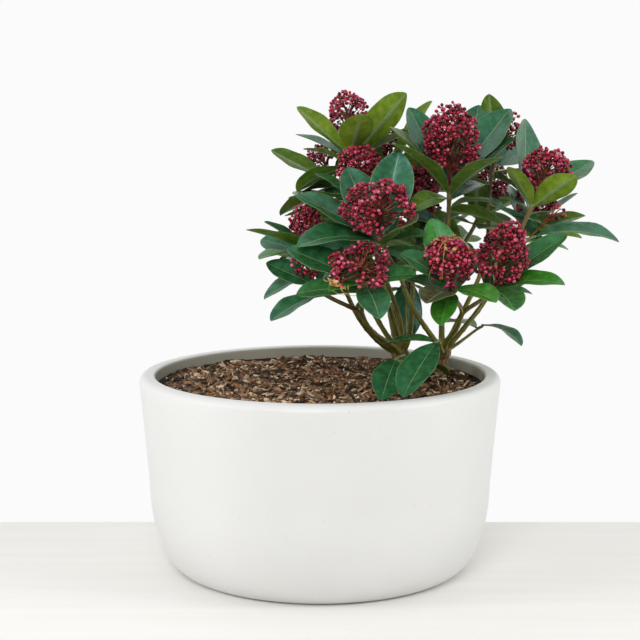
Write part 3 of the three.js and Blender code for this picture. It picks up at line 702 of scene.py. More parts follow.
def wanted_leaves(s, shoot_id, curve, axis):
    """The leaves of a shoot as the table plans them, before it is known which have room."""
    count, lower = s["leaves"], s["lower"]
    arch, drop = s.get("arch", LEAF["arch"]), s.get("drop", LEAF["drop"])
    plan = []
    for k in range(count):
        down = k / max(count - 1, 1)
        plan.append((1 - down * LEAF["whorl"] / curve.length, s["rise"] - down * drop,
                     arch + down * LEAF["more"]))
    for k in range(lower):
        plan.append((LOWER["top"] - LOWER["over"] * (k + 0.5) / lower,
                     LOWER["rise"] - LOWER["less"] * k, arch + LEAF["more"]))
    wanted = []
    for k, (place, rise, bent) in enumerate(plan):
        way = way_of(s["ways"], k)
        by_chance = {measure: varied(shoot_id, k, measure) for measure in VARY}
        roll = s.get("roll", 0) + by_chance["roll"]
        if not isinstance(way, tuple):
            way = (way + by_chance["heading"], rise + by_chance["rise"],
                   s["long"] * (1 + by_chance["long"]), bent + by_chance["arch"])
        heading, rise, long, bent, roll = *way[:4], way[4] if len(way) > 4 else roll
        wanted.append(dict(
            share=min(max(place, LOWER["least"]), 1),
            heading=heading,
            rise=rise,
            roll=roll,
            long=long,
            wide=long * LEAF["width"] * (1 + by_chance["wide"]),
            arch=bent,
            tone=s["tones"][k % len(s["tones"])],
            axis=axis,
        ))
        wanted[-1]["root"] = on_twig(curve, wanted[-1]["share"])
    return wanted


def aim(leaf, turn, lift):
    """Points a leaf: out runs from root to tip, up is where its upper side faces."""
    heading, rise = math.radians(leaf["heading"] + turn), math.radians(leaf["rise"] + lift)
    level = np.array([math.cos(heading), math.sin(heading), 0])
    outward = unit(level - leaf["axis"] * (level @ leaf["axis"]))
    out = outward * math.cos(rise) + leaf["axis"] * math.sin(rise)
    up = leaf["axis"] * math.cos(rise) - outward * math.sin(rise)
    roll = math.radians(leaf["roll"])
    up = up * math.cos(roll) + np.cross(out, up) * math.sin(roll)
    return {**leaf, "out": out, "up": up}


# %% Room for each leaf
TRIES = [(0, 0), (0, -5), (5, 0), (-5, 0), (0, 5), (0, -12), (15, 0), (-15, 0), (0, 14),
         (30, -8), (-30, -8), (0, -26), (45, 6), (-45, 6)]
taken = []


def shape_tree(points, faces):
    return BVHTree.FromPolygons([Vector(p) for p in points], faces)


def occupy(owner, whole, blade=None):
    """Notes a shape that later leaves must clear. blade is what its own shoots must clear."""
    points = whole[0]
    tree = shape_tree(*whole)
    taken.append(dict(owner=owner, whole=tree, blade=shape_tree(*blade) if blade else tree,
                      low=points.min(0), high=points.max(0)))


def has_room(owner, whole, blade):
    """Whether a leaf clears every shape so far: the far ones by their boxes, the rest by their faces."""
    low, high = whole[0].min(0), whole[0].max(0)
    tree, blade_tree = shape_tree(*whole), shape_tree(*blade)
    for t in taken:
        if (low > t["high"]).any() or (t["low"] > high).any():
            continue
        if blade_tree.overlap(t["blade"]) if t["owner"] == owner else tree.overlap(t["whole"]):
            return False
    return True


def place_leaf(owner, wanted):
    """The leaf at its first try that has room, or None."""
    for turn, lift in TRIES:
        leaf = aim(wanted, turn, lift)
        if has_room(owner, plain_leaf(leaf, 0, GAP), plain_leaf(leaf, BLADE_CLEAR, GAP)):
            occupy(owner, plain_leaf(leaf), plain_leaf(leaf, BLADE_CLEAR))
            return leaf
    return None


# %% [markdown]
# A flower head is an egg, a little wider towards its top and slightly knobbly. It is only a limit
# here: buds fill it, and leaves of other shoots keep out of it. The leaves of its own shoot may pass
# among the outer buds, but not into the firm middle.

# %% Egg of a flower head
def ball(detail):
    """The points and faces of an icosahedron with each face cut into four, detail times."""
    t = (1 + 5 ** 0.5) / 2
    corners = [(-1, t, 0), (1, t, 0), (-1, -t, 0), (1, -t, 0), (0, -1, t), (0, 1, t), (0, -1, -t),
               (0, 1, -t), (t, 0, -1), (t, 0, 1), (-t, 0, -1), (-t, 0, 1)]
    points = [unit(np.array(c, float)) for c in corners]
    near = 1.1  # an edge is 1.05 long, the next distance is 1.7
    faces = [[a, b, c] for a in range(12) for b in range(a + 1, 12) for c in range(b + 1, 12)
             if all(np.linalg.norm(points[i] - points[j]) < near for i, j in ((a, b), (b, c), (a, c)))]
    faces = [f if np.cross(points[f[1]] - points[f[0]], points[f[2]] - points[f[0]]) @ points[f[0]] > 0
             else f[::-1] for f in faces]
    for _ in range(detail):
        middle, finer = {}, []
        for face in faces:
            cut = []
            for i in range(3):
                key = tuple(sorted((face[i], face[(i + 1) % 3])))
                if key not in middle:
                    middle[key] = len(points)
                    points.append(unit(points[key[0]] + points[key[1]]))
                cut.append(middle[key])
            a, b, c = face
            finer += [[a, cut[0], cut[2]], [b, cut[1], cut[0]], [c, cut[2], cut[1]], cut]
        faces = finer
    return np.array(points), faces


BALL = ball(1)


def egg_frame(s):
    """The directions of a head's egg: two square to its axis, and the axis."""
    axis = axis_of(s)
    return np.array([*square_to(axis), axis])


def egg_point(s, shoot_id, directions, share):
    """Points of a head's egg in some directions (x, y and along its axis), scaled by share."""
    x, y, z = np.asarray(directions).T
    wave = sum(np.sin(HEAD["knobs"] * at + (k + 1) * shoot_id) for k, at in enumerate((x, y, z)))
    size = share * (1 + HEAD["bumps"] * np.clip(wave, -1, 1))
    girth = (1 + s.get("taper", HEAD["taper"]) * z) * s["size"][0] * size / 2
    first, second, axis = egg_frame(s)
    flat = (x * girth)[:, None] * first + (y * girth)[:, None] * second
    return s["at"] + flat + (z * s["size"][1] * size / 2)[:, None] * axis


# %% Growing the plan
def node_shape(name):
    """The points and faces of one of the frame's solids."""
    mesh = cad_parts[name].data
    return (np.array([v.co for v in mesh.vertices]) / MM, [list(p.vertices) for p in mesh.polygons])


def grow():
    """Notes what is there, adds each bough's twigs and heads in the frame's few faces, then its leaves."""
    for name in ("pot", "soil"):
        occupy("pot", node_shape(name))
    for name in [*(f"stool_{name}" for name in STOOLS), *(f"stem_{stem['name']}" for stem in stems)]:
        occupy("limbs", node_shape(name))
    for index, stem in enumerate(stems):
        start = stem["tip"] + stem["rising"] * GAP
        end = start + stem["rising"] * STEM["stub"]
        stem["stub"] = straight(start, end)
        occupy(stem["name"], tube(stem["stub"], tapering(STEM["tip"], ARM["foot"]), sides=5, steps=1))
        stem["arms"] = []
        for k, (s, neck) in enumerate(zip(stem["shoots"], stem["necks"])):
            axis = axis_of(s)
            origin = end - stem["rising"] * ARM["sunk"] * (k + 1)
            leaving = unit(unit(neck - origin) + stem["rising"])
            arm = dict(shoot=s, axis=axis, neck=neck, id=index * 2 + k,
                       curve=bend(origin, leaving, neck, axis))
            stem["arms"].append(arm)
            occupy(stem["name"], tube(arm["curve"], tapering(ARM["foot"], STEM["twig"]), sides=4,
                                      steps=STEM["pieces"], turn=30 * k + 15))
            if stem["bare"]:
                continue
            whole = (egg_point(s, arm["id"], BALL[0], 1), BALL[1])
            firm = (egg_point(s, arm["id"], BALL[0], HEAD["firm"]), BALL[1])
            occupy(stem["name"], whole, firm)
            foot = straight(neck - axis * HEAD["sunk"], s["at"])
            occupy(stem["name"], tube(foot, tapering(HEAD["foot"], HEAD["foot"]), sides=3, steps=1, turn=25))
    for stem in stems:
        for arm in stem["arms"]:
            wanted = wanted_leaves(arm["shoot"], arm["id"], arm["curve"], arm["axis"])
            arm["leaves"] = [leaf for leaf in (place_leaf(stem["name"], w) for w in wanted) if leaf]


grow()
grown = [leaf for stem in stems for arm in stem["arms"] for leaf in arm["leaves"]]
print(len(grown), "leaves found room")

# %% [markdown]
# ## The pot
#
# A bowl like this is cast in stoneware and dipped in a white satin glaze. The wall is one outline
# turned about the middle: a flat base, a belly of a quarter ellipse, a nearly straight wall, a flat
# lip that is round outside and crisp inside, and the inside. Turning it with mesh code keeps the
# lip's arcs true, and a waver of a tenth of a millimetre over each hand's width keeps the long
# highlight from looking machined. Within the lip, above the compost, the glaze is painted a
# grey-brown: painted shade, with a painted brown reflection of the dark compost.

# %% Glaze
# Painted shade inside the lip: full within the first radius, ending at the second, above a height.
INSIDE_SHADE_RADII = (146, 147.5)  # the tint is full within the first radius and ends at the second
INSIDE_SHADE_ABOVE = 150
CLOUDS = 14.0  # in a metre, so each cloud in the glaze is about 70 mm wide
GRIT = 420.0  # in a metre, so each speck of grit is about 2.4 mm wide

satin_glaze, tree, shader = new_material("white satin glaze on stoneware", "DADAD9", 0.42, 1.5)
where = add(tree, "TexCoord")
cloud = add(tree, "TexNoise", {"Vector": where.outputs["Object"], "Scale": CLOUDS, "Detail": 3.0})
tone = add(tree, "ValToRGB", {"Fac": cloud}, [(0.3, "D9D9D7"), (0.7, "DCDCDB")])
grit = add(tree, "TexNoise", {"Vector": where.outputs["Object"], "Scale": GRIT, "Detail": 2.0})
fleck = add(tree, "ValToRGB", {"Fac": grit}, [(0.2, "EAE6DE"), (0.3, "FFFFFF")])
both = add(tree, "MixRGB", {"Fac": 1.0, "Color1": tone, "Color2": fleck}, blend_type="MULTIPLY")
spokes = add(tree, "VectorMath", {0: where.outputs["Object"], 1: (1, 1, 0)}, operation="MULTIPLY")
radius = add(tree, "VectorMath", {0: spokes}, operation="LENGTH")
within = add(tree, "MapRange", {"Value": radius.outputs["Value"], "From Min": INSIDE_SHADE_RADII[0] * MM,
                                "From Max": INSIDE_SHADE_RADII[1] * MM, "To Min": 1.0, "To Max": 0.0})
height = add(tree, "SeparateXYZ", {"Vector": where.outputs["Object"]})
upper = add(tree, "Math", {0: height.outputs["Z"], 1: INSIDE_SHADE_ABOVE * MM}, operation="GREATER_THAN")
inside_shade = add(tree, "Math", {0: within, 1: upper}, operation="MULTIPLY")
# The grey-brown multiplied in here is painted shade and a painted reflection of the compost.
whole = add(tree, "MixRGB", {"Fac": inside_shade, "Color1": both, "Color2": linear("BCB8A8")},
            blend_type="MULTIPLY")
tree.links.new(whole.outputs[0], shader.inputs["Base Color"])
gloss = add(tree, "MapRange", {"Value": cloud, "From Min": 0.3, "From Max": 0.7,
                               "To Min": 0.38, "To Max": 0.48})
tree.links.new(gloss.outputs[0], shader.inputs["Roughness"])
set_bump(tree, shader, grit, distance=0.03, strength=0.5)
print(satin_glaze.name, "for the pot")


# %% Pot
def arc(x, y, rx, ry, start, end, steps):
    """Points of an ellipse about (x, y), without its first one."""
    angles = np.radians(np.linspace(start, end, steps + 1)[1:])
    return [(x + rx * math.cos(a), y + ry * math.sin(a)) for a in angles]


def walk(start, end, steps):
    """Points at even steps along a straight line, without its first one."""
    return [tuple(np.array(start) + (np.array(end) - start) * k / steps) for k in range(1, steps + 1)]


def hollow(inset, top):
    """The inside of the pot from a height down to the middle of its floor, set back by inset."""
    slope = (POT["rim"] - POT["shoulder"]) / (POT["height"] - POT["shoulder_height"])
    radius = POT["shoulder"] + slope * (top - POT["shoulder_height"]) - POT["wall"] - inset
    floor = POT["wall"] + inset
    across = POT["shoulder"] - POT["foot"] - floor
    line = [(radius, top), *walk((radius, top), (POT["foot"] + across, POT["shoulder_height"]), 8)]
    line += arc(POT["foot"], POT["shoulder_height"], across, POT["shoulder_height"] - floor, 0, -90, 12)
    return line + walk(line[-1], (0, floor), 5)


def turned(outline, segments):
    """A closed solid turned from an outline whose two ends lie on the axis."""
    rings = [ring_at(r, angles_round(segments), z) for r, z in outline[1:-1]]
    points = np.concatenate([[(0, 0, outline[0][1])], *rings, [(0, 0, outline[-1][1])]])
    ring = np.arange(segments) + 1
    faces = np.stack([np.zeros(segments, int), np.roll(ring, -1), ring], 1).tolist()
    for _ in rings[1:]:
        faces += band(ring, ring + segments)
        ring = ring + segments
    last = np.full(segments, len(points) - 1)
    return points, faces + np.stack([ring, np.roll(ring, -1), last], 1).tolist()


POT_SEGMENTS = 192
WAVER, WAVER_SIZE = 0.12, 70  # how far the wall wanders from true, over how many millimetres
TRUE_FOOT = 20  # below this height the wall wanders less
INNER_EDGE = 2.5  # how round the lip is on the inside

inner = POT["rim"] - POT["wall"]
under = POT["height"] - POT["lip"]
outline = [(0, 0), *walk((0, 0), (POT["foot"], 0), 4)]
outline += arc(POT["foot"], POT["shoulder_height"], POT["shoulder"] - POT["foot"],
               POT["shoulder_height"], -90, 0, 24)
outline += walk(outline[-1], (POT["rim"], under), 12)
outline += arc(POT["rim"] - POT["lip"], under, POT["lip"], POT["lip"], 0, 90, 8)
outline += walk(outline[-1], (inner + INNER_EDGE, POT["height"]), 4)
outline += arc(inner + INNER_EDGE, POT["height"] - INNER_EDGE, INNER_EDGE, INNER_EDGE, 90, 180, 6)
points, faces = turned(outline + hollow(0, SOIL["level"]), POT_SEGMENTS)
wave = lumps(points, WAVER_SIZE, seed=1) * np.clip(points[:, 2] / TRUE_FOOT, 0, 1)
points[:, :2] *= 1 + (WAVER * wave / np.maximum(np.hypot(points[:, 0], points[:, 1]), 1))[:, None]
dress(make_piece("bowl_pot", points, faces, [satin_glaze]), "pot", "pot")

# %% [markdown]
# ## The compost
#
# Potting compost for shrubs is composted bark: dark damp crumbs with flat chips, a few fine roots and
# white grains of perlite, a puffed volcanic glass. One noisy surface would look like dough, so the
# surface only carries the crumbs, and thousands of loose chips lie on it. Each chip is a small ball
# with few faces, squashed flat and turned at random from a seed, so that it shows crisp broken edges.

# %% Bark, perlite and root
def crumbly(name, colours, size, roughness, bump):
    """A dull broken surface, which throws back less light than a smooth one."""
    return patchy(name, colours, size, roughness, bump, 1.45, {"Detail": 5.0, "Roughness": 0.65},
                  **{"Specular IOR Level": 0.2})


damp_crumbs = crumbly("damp composted bark", ("140D08", "2C1F15", "4C3A28"), 4, 0.85, 0.8)
dark_chip = crumbly("dark bark chip", ("2E2017", "644E3A", "967C66"), 2, 0.75, 0.3)
red_chip = crumbly("red pine bark chip", ("64422C", "966C4C", "BC9472"), 2, 0.7, 0.3)
tan_chip = crumbly("pale split wood chip", ("9A8068", "C4AA8C", "E2CEB0"), 2, 0.65, 0.3)
perlite = crumbly("expanded perlite", ("CFCAC0", "E6E3DC", "F4F2EE"), 1, 0.9, 0.2)
fine_root = crumbly("fine brown root", ("6A4024", "8E5A34", "AE7848"), 2, 0.7, 0.1)
print("the compost is", damp_crumbs.name, "with chips, perlite and roots")


# %% Compost surface
SOIL_RINGS = 96
SOIL_SEGMENTS = 240
CRUMBS = ((13, 1.6), (5, 1.4), (2.4, 0.8))  # how wide and how high the crumbs are
SWELLS = (0.11, 0.13, 0.07)  # low waves across, along and aslant, in radians for each millimetre


def soil_height(x, y):
    """The surface that the crumbs and chips lie on: low swells, and a mound at each stool."""
    swell = np.sin(x * SWELLS[0] + 1) * np.cos(y * SWELLS[1]) + np.sin((x + y) * SWELLS[2])
    height = SOIL["level"] + SOIL["bump"] * swell / 2
    for name, stool in STOOLS.items():
        away = np.hypot(x - stool["foot"][0], y - stool["foot"][1])
        low, top = SOIL["level"] - 2 * SOIL["bump"], mound_top(name)
        slope = (SOIL["mound_foot"] - away) / (SOIL["mound_foot"] - SOIL["mound_top"])
        height = np.maximum(height, low + np.clip(slope, 0, 1) * (top - low))
    return height


edge = hollow(GAP, SOIL["level"])
rim = edge[0][0]
surface = [(0, SOIL["level"]), *[(rim * k / SOIL_RINGS, SOIL["level"]) for k in range(1, SOIL_RINGS)]]
points, faces = turned((surface + edge)[::-1], SOIL_SEGMENTS)
top = (points[:, 2] > SOIL["level"] - 1) & (np.hypot(points[:, 0], points[:, 1]) < rim - 0.5)
flat = points[top] * [1, 1, 0]
points[top, 2] = soil_height(flat[:, 0], flat[:, 1])
for seed, (size, high) in enumerate(CRUMBS):
    points[top, 2] += lumps(flat, size, seed + 5) * high
dress(make_piece("compost", points, faces, [damp_crumbs]), "soil", "soil")


# %% Chips, perlite and roots
def scattered(count, rng, margin):
    """Random places on the compost, clear of the pot's wall and of the stools."""
    places = []
    while len(places) < count:
        x, y = rng.uniform(-rim, rim, 2)
        clear = [math.hypot(x - stool["foot"][0], y - stool["foot"][1]) > stool["flare"] - 1
                 for stool in STOOLS.values()]
        if math.hypot(x, y) < rim - margin and all(clear):
            places.append((x, y))
    return np.array(places)


def turned_at_random(rng, count, tilt):
    """Rotations: any way round, tipped from flat by up to tilt degrees."""
    spin = rng.uniform(0, math.tau, count)
    tip = rng.uniform(0, math.tau, count)
    lean = np.radians(rng.uniform(0, tilt, count))
    z = ring_at(np.sin(lean), tip, np.cos(lean))
    x = ring_at(1, spin, 0)
    x = x - z * (x * z).sum(1)[:, None]
    x /= np.linalg.norm(x, axis=1)[:, None]
    return np.stack([x, np.cross(z, x), z], 1)


ROUGH = 0.35  # how far the corners of a grain stand in or out, of its size
MOSTLY_SMALL = 1.6  # a power above 1 makes more small grains than large ones
SUNK = 0.3  # the share of a grain that lies in the compost


def strew(name, count, seed, sizes, detail, tilt, materials, shares, smooth):
    """Strews rough grains: sizes gives the range of length, width and thickness."""
    rng = np.random.default_rng(seed)
    shape, faces = ball(detail)
    low, high = np.array(sizes, float).T
    size = low + (high - low) * rng.random((count, 3)) ** MOSTLY_SMALL
    places = scattered(count, rng, margin=size[:, 0].max() / 2 + 0.5)
    rough = 1 + ROUGH * (rng.random((count, len(shape), 1)) - 0.5)
    grains = shape[None] * rough * size[:, None] / 2
    grains = np.einsum("nvi,nij->nvj", grains, turned_at_random(rng, count, tilt))
    flat = np.c_[places, np.zeros(count)]
    height = soil_height(places[:, 0], places[:, 1]) + lumps(flat, size=9, seed=5)
    centres = np.c_[places, height + size[:, 2] * (0.5 - SUNK)]
    heap = Heap()
    heap.put_many(grains + centres[:, None], [faces], rng.choice(len(materials), count, p=shares))
    dress(heap.build(name, materials, smooth), "soil")


strew("bark_chips", count=3000, seed=11, sizes=((4, 17), (1.8, 6.5), (1.0, 3.2)), detail=0, tilt=60,
      materials=[dark_chip, red_chip, tan_chip], shares=[0.58, 0.24, 0.18], smooth=False)
strew("perlite_grains", count=130, seed=12, sizes=((1.2, 3.4), (1.2, 3.0), (1.0, 2.4)), detail=1,
      tilt=40, materials=[perlite], shares=[1], smooth=True)


def strew_roots(count, seed):
    """Strews thin roots that leave the compost at one end and go back into it at the other."""
    rng = np.random.default_rng(seed)
    heap = Heap()
    for x, y in scattered(count, rng, margin=16):
        way, length = rng.uniform(0, math.tau), rng.uniform(8, 24)
        ahead = np.array([math.cos(way), math.sin(way), 0]) * length
        side = np.array([-ahead[1], ahead[0], 0]) * rng.uniform(-0.4, 0.4)
        middle = np.array([x, y, soil_height(x, y) + 0.6])
        hump = UP * rng.uniform(0.5, 4)
        curve = Curve(middle - ahead / 2 - UP, middle - ahead / 4 + side + hump,
                      middle + ahead / 4 - side + hump, middle + ahead / 2 - UP)
        heap.put(*tube(curve, tapering(0.35, 0.15), sides=4, steps=7))
    dress(heap.build("fine_roots", [fine_root]), "soil")


strew_roots(count=170, seed=13)

# %% [markdown]
# ## Stools and stems
#
# A stool is the short old foot of the shrub, thickened where stems have been cut back. Its bark is
# fibrous, so its ridges run up and down. The stems above it are younger: smooth olive bark with brown
# streaks, and a swelling wherever a leaf once sat. Ridges and swellings are real relief in the mesh.
# The streaks are drawn in a tube's own coordinates (round it and along it), kept with each point, so
# that they follow every bend.

# %% Barks
STREAKS = 0.7  # in a millimetre, round a limb


def streaky(name, colours, along, roughness, bump):
    """Bark with streaks that run along the limb, each about along times as long as it is wide."""
    made, tree, shader = new_material(name, colours[1], roughness, 1.45)
    place = add(tree, "Attribute", attribute_name="place")
    drawn = add(tree, "Mapping", {"Vector": place.outputs["Vector"],
                                  "Scale": (STREAKS, STREAKS, STREAKS / along)})
    streak = add(tree, "TexNoise", {"Vector": drawn, "Scale": 1.0, "Detail": 4.0})
    tone = three_tones(tree, streak, colours, 0.32)
    tree.links.new(tone.outputs[0], shader.inputs["Base Color"])
    set_bump(tree, shader, streak, bump)
    return made


old_bark = streaky("fibrous old bark", ("3E2E1E", "6E563A", "967C58"), 5, 0.9, 0.8)
olive_bark = streaky("smooth olive bark", ("555018", "74702A", "8D883C"), 9, 0.5, 0.15)
print(old_bark.name, "for the stools,", olive_bark.name, "for the stems")


# %% Stools
STOOL_SIDES = 48
MEAN_RADIUS = 6  # of a stool, for its bark's pattern
FIBRE, FIBRE_SIZE = 0.6, 1.3  # how high the fibres stand, and their width
FIBRES_ROUND, FIBRE_LONG = 7, 4  # the radius at which they are that wide, and how drawn out they are
LUMP, LUMP_SIZE = 0.8, 5  # how far the wood is out of round, and over how much of it
ROOTS, ROOTS_TO = 5, 9  # five old roots bulge the foot, up to this height


def stool_outline(stool):
    """Height and radius up a stool: a flared foot, a neck, and a round knob as its top."""
    centre = stool["height"] - stool["knob"]
    rise = [(stool["flare"], 0), (stool["neck"] + 1, centre * 0.5)]
    low = math.acos(min((stool["neck"] + 0.6) / stool["knob"], 1))
    knob = [(stool["knob"] * math.cos(a), centre + stool["knob"] * math.sin(a))
            for a in np.linspace(-low, math.pi / 2, 20)[:-1]]
    rise = [(r, z) for r, z in rise if z < knob[0][1] - 1] or rise[:1]
    line = [(0, 0), *walk((0, 0), rise[0], 3)]
    for corner in [*rise[1:], knob[0]]:
        line += walk(line[-1], corner, 6)
    return line + knob[1:] + [(0, stool["height"])]


for name, stool in STOOLS.items():
    points, faces = turned(stool_outline(stool), STOOL_SIDES)
    around = np.hypot(points[:, 0], points[:, 1])
    away = points / np.maximum(around, 0.1)[:, None] * [1, 1, 0]
    places = np.c_[away[:, :2] * MEAN_RADIUS, points[:, 2]]
    drawn_out = np.c_[away[:, :2] * FIBRES_ROUND, points[:, 2] / FIBRE_LONG]
    fibre = lumps(drawn_out, FIBRE_SIZE, seed=21) * FIBRE
    foot = np.clip(1 - points[:, 2] / ROOTS_TO, 0, 1)
    bulges = np.cos(ROOTS * np.arctan2(points[:, 1], points[:, 0])) * foot
    points += away * (fibre + bulges + lumps(points, LUMP_SIZE, seed=22) * LUMP)[:, None]
    lean = points[:, 2:] / stool["height"] * [*stool["lean"], 0]
    points = points + lean + [*stool["foot"], mound_top(name) + GAP]
    piece = make_piece(f"bark_stool_{name}", points, faces, [old_bark], places=places)
    dress(piece, "bark", f"stool_{name}")


# %% Bark with nodes
def ring_places(sides, steps, length, radius):
    """Where each point of a tube lies round it and along it, in millimetres."""
    return np.concatenate([ring_at(radius, angles_round(sides), length * share)
                           for share in np.linspace(0, 1, steps + 1)])


SCARS = 17  # from one leaf scar to the next


def chance_marks(curve, rng):
    """Old leaf scars: how far along the limb each is, and which way round."""
    marks = np.arange(rng.uniform(0.3, 1) * SCARS, curve.length - 3, SCARS)
    marks = marks + rng.uniform(-0.25, 0.25, len(marks)) * SCARS
    return list(zip(marks, rng.uniform(0, math.tau, len(marks))))


LIMB_SIDES = 12
LIMB_PITCH = 1.6  # from ring to ring
FLARE_LONG = 4  # how soon the flare at a foot fades
RIDGE, RIPPLE = 0.07, 0.05  # three ridges that wind round the limb, and a ripple along it
SWELL, SWELL_LONG = 0.5, 1.6  # how far a node stands out, and half how long it is
ALL_ROUND = 0.35  # the share of a node's swelling that is on every side


def barked(curve, r0, r1, marks, rng, flare=0.0):
    """A limb that swells on one side at each mark, with faint ridges between."""
    phase = rng.uniform(0, math.tau, 2)

    def radius(share, angles):
        along = share * curve.length
        r = r0 + (r1 - r0) * share + flare * math.exp(-along / FLARE_LONG)
        r = r + RIDGE * np.sin(3 * angles + phase[0] + along * 0.15)
        r = r + RIPPLE * math.sin(along * 0.7 + phase[1])
        for mark, way in marks:
            near = math.exp(-((along - mark) / SWELL_LONG) ** 2)
            facing = np.clip(np.cos(angles - way), 0, 1) ** 2
            r = r + near * SWELL * (ALL_ROUND + (1 - ALL_ROUND) * facing)
        return r

    steps = max(4, round(curve.length / LIMB_PITCH))
    places = ring_places(LIMB_SIDES, steps, curve.length, r0)
    return *tube(curve, radius, LIMB_SIDES, steps), places


# %% Stems
SEAT = 3  # how far a stem's foot is sunk in its stool, in millimetres
FOOT_FLARE = 0.9  # how much thicker a stem is where it leaves its stool

for index, stem in enumerate(stems):
    rng = np.random.default_rng(SEEDS["stems"] + index)
    start = stem["curve"].handles[0] - stem["heading"] * SEAT
    curve = bend(start, stem["heading"], stem["tip"], stem["rising"])
    thin = stem["thin"]
    points, faces, places = barked(curve, STEM["foot"] * thin, STEM["tip"] * thin,
                                   chance_marks(curve, rng), rng, flare=FOOT_FLARE * thin)
    piece = make_piece(f"bark_{stem['name']}", points, faces, [olive_bark], places=places)
    dress(piece, "green_stem", f"stem_{stem['name']}")

# %% [markdown]
# ## Twigs
#
# Above the fork the shoots are this year's wood: green, with a red-brown flush in streaks. A
# leaf does not just touch its twig. It sits on a small cushion, so each twig swells on the side of
# every leaf that it carries. The twigs of one bough are one piece, made of closed tubes that run into
# each other.

# %% Twigs
young_bark = streaky("red-green young bark", ("5B3F2A", "70602F", "7F8040"), 9, 0.45, 0.1)


def way_round(curve, share, direction):
    """The angle round a tube at which a direction leaves it."""
    steps = 40
    _, first, second = rings_along(curve, steps)[round(share * steps)]
    return math.atan2(direction @ second, direction @ first)


for index, stem in enumerate(stems):
    rng = np.random.default_rng(SEEDS["twigs"] + index)
    heap = Heap()
    thin, stub = stem["thin"], stem["stub"]
    stub = straight(stub.at(0), stub.at(1) + stem["rising"] * ARM["foot"] * 0.5)
    heap.put(*barked(stub, STEM["tip"] * thin, ARM["foot"] * thin, [], rng))
    for arm in stem["arms"]:
        marks = [(leaf["share"] * arm["curve"].length, way_round(arm["curve"], leaf["share"], leaf["out"]))
                 for leaf in arm["leaves"]]
        heap.put(*barked(arm["curve"], ARM["foot"] * thin, STEM["twig"] * thin, marks, rng))
    dress(heap.build(f"twigs_{stem['name']}", [young_bark]), "foliage", f"shoots_{stem['name']}")

# %% [markdown]
# ## Leaves
#
# A skimmia leaf is leathery and half a millimetre thick, smooth and waxy above and dull below, with a
# pale midrib in a groove, side veins that barely show, a fine pale margin and a short stout stalk.
# It is a closed grid: a top and an underside that share one outline, with narrow strips of faces for
# the midrib and the margin, so those lines stay crisp at any distance. Side veins are too fine for
# faces and are a bump, drawn in the leaf's own coordinates: across from the midrib, and along.

# %% Leaf surfaces
VEIN_GAP = 6.5  # from one side vein to the next, in millimetres
VEIN_LEAN = 0.9  # how far a side vein runs along for each step across
VEIN_WAVER = 5.0  # how far a side vein strays, in millimetres
VEIN_WIDE = 0.86  # nearer to 1 is narrower
SHEEN = (0.5, 1.0, 1.0, 1.0)  # the waxy bloom throws back cool light


def leaf_surface(name, colours, roughness, gloss, vein_tone, vein_depth):
    """Leaf skin: tone in soft patches, and side veins that lean towards the tip."""
    made, tree, shader = new_material(name, colours[1], roughness, 1.45,
                                      **{"Specular IOR Level": gloss, "Specular Tint": SHEEN})
    place = add(tree, "Attribute", attribute_name="place")
    axis = add(tree, "SeparateXYZ", {"Vector": place.outputs["Vector"]})
    across = add(tree, "Math", {0: axis.outputs["X"]}, operation="ABSOLUTE")
    lean = add(tree, "Math", {0: across, 1: -VEIN_LEAN, 2: axis.outputs["Y"]}, operation="MULTIPLY_ADD")
    waver = add(tree, "TexNoise", {"Vector": place.outputs["Vector"], "Scale": 0.12, "Detail": 2.0})
    moved = add(tree, "Math", {0: waver, 1: VEIN_WAVER, 2: lean}, operation="MULTIPLY_ADD")
    turns = add(tree, "Math", {0: moved, 1: math.tau / VEIN_GAP}, operation="MULTIPLY")
    wave = add(tree, "Math", {0: turns}, operation="COSINE")
    vein = add(tree, "MapRange", {"Value": wave, "From Min": VEIN_WIDE, "From Max": 1.0})
    patch = add(tree, "TexNoise", {"Vector": place.outputs["Vector"], "Scale": 0.16, "Detail": 4.0})
    tone = three_tones(tree, patch, colours, 0.3)
    faint = add(tree, "Math", {0: vein, 1: vein_tone}, operation="MULTIPLY")
    both = add(tree, "MixRGB", {"Fac": faint, "Color1": tone, "Color2": linear("9DB070")})
    tree.links.new(both.outputs[0], shader.inputs["Base Color"])
    pores = add(tree, "TexNoise", {"Vector": place.outputs["Vector"], "Scale": 1.6, "Detail": 2.0})
    height = add(tree, "Math", {0: vein, 1: vein_depth, 2: pores}, operation="MULTIPLY_ADD")
    set_bump(tree, shader, height, distance=0.12)
    return made


def waxy(name, *colours):
    """The upper side: glossy, with side veins that barely show and lie in faint grooves."""
    return leaf_surface(name, colours, roughness=0.27, gloss=0.8, vein_tone=0.035, vein_depth=-0.5)


def matt(name, *colours):
    """The underside: dull, with side veins that stand out."""
    return leaf_surface(name, colours, roughness=0.55, gloss=0.2, vein_tone=0.06, vein_depth=0.8)


UPPER = {
    "d": waxy("dark leaf, waxy", "1E4A2C", "285C36", "347044"),
    "m": waxy("mid green leaf, waxy", "265828", "316A32", "407C40"),
    "b": waxy("bright green leaf, waxy", "2B6A18", "387B1F", "4C8E2E"),
    "y": waxy("yellowish leaf, waxy", "445E1C", "547024", "668230"),
    "z": waxy("bronze flushed leaf, waxy", "42362A", "4C4A33", "4E5E36"),
}
UNDER = {
    "dull": matt("olive underside", "48641A", "587424", "6A8530"),
    "pale": matt("yellow-green underside", "607A18", "718B22", "829B32"),
}
midrib = streaky("pale midrib", ("66804C", "78925C", "8CA470"), 6, 0.4, 0.05)
margin = streaky("thin pale margin", ("46683A", "5E8048", "769658"), 6, 0.4, 0.03)
LEAF_SKINS = [*UPPER.values(), *UNDER.values(), midrib, margin]
PALE_BELOW = "by"  # the tones whose undersides are yellow-green
print(len(LEAF_SKINS), "surfaces for leaves")

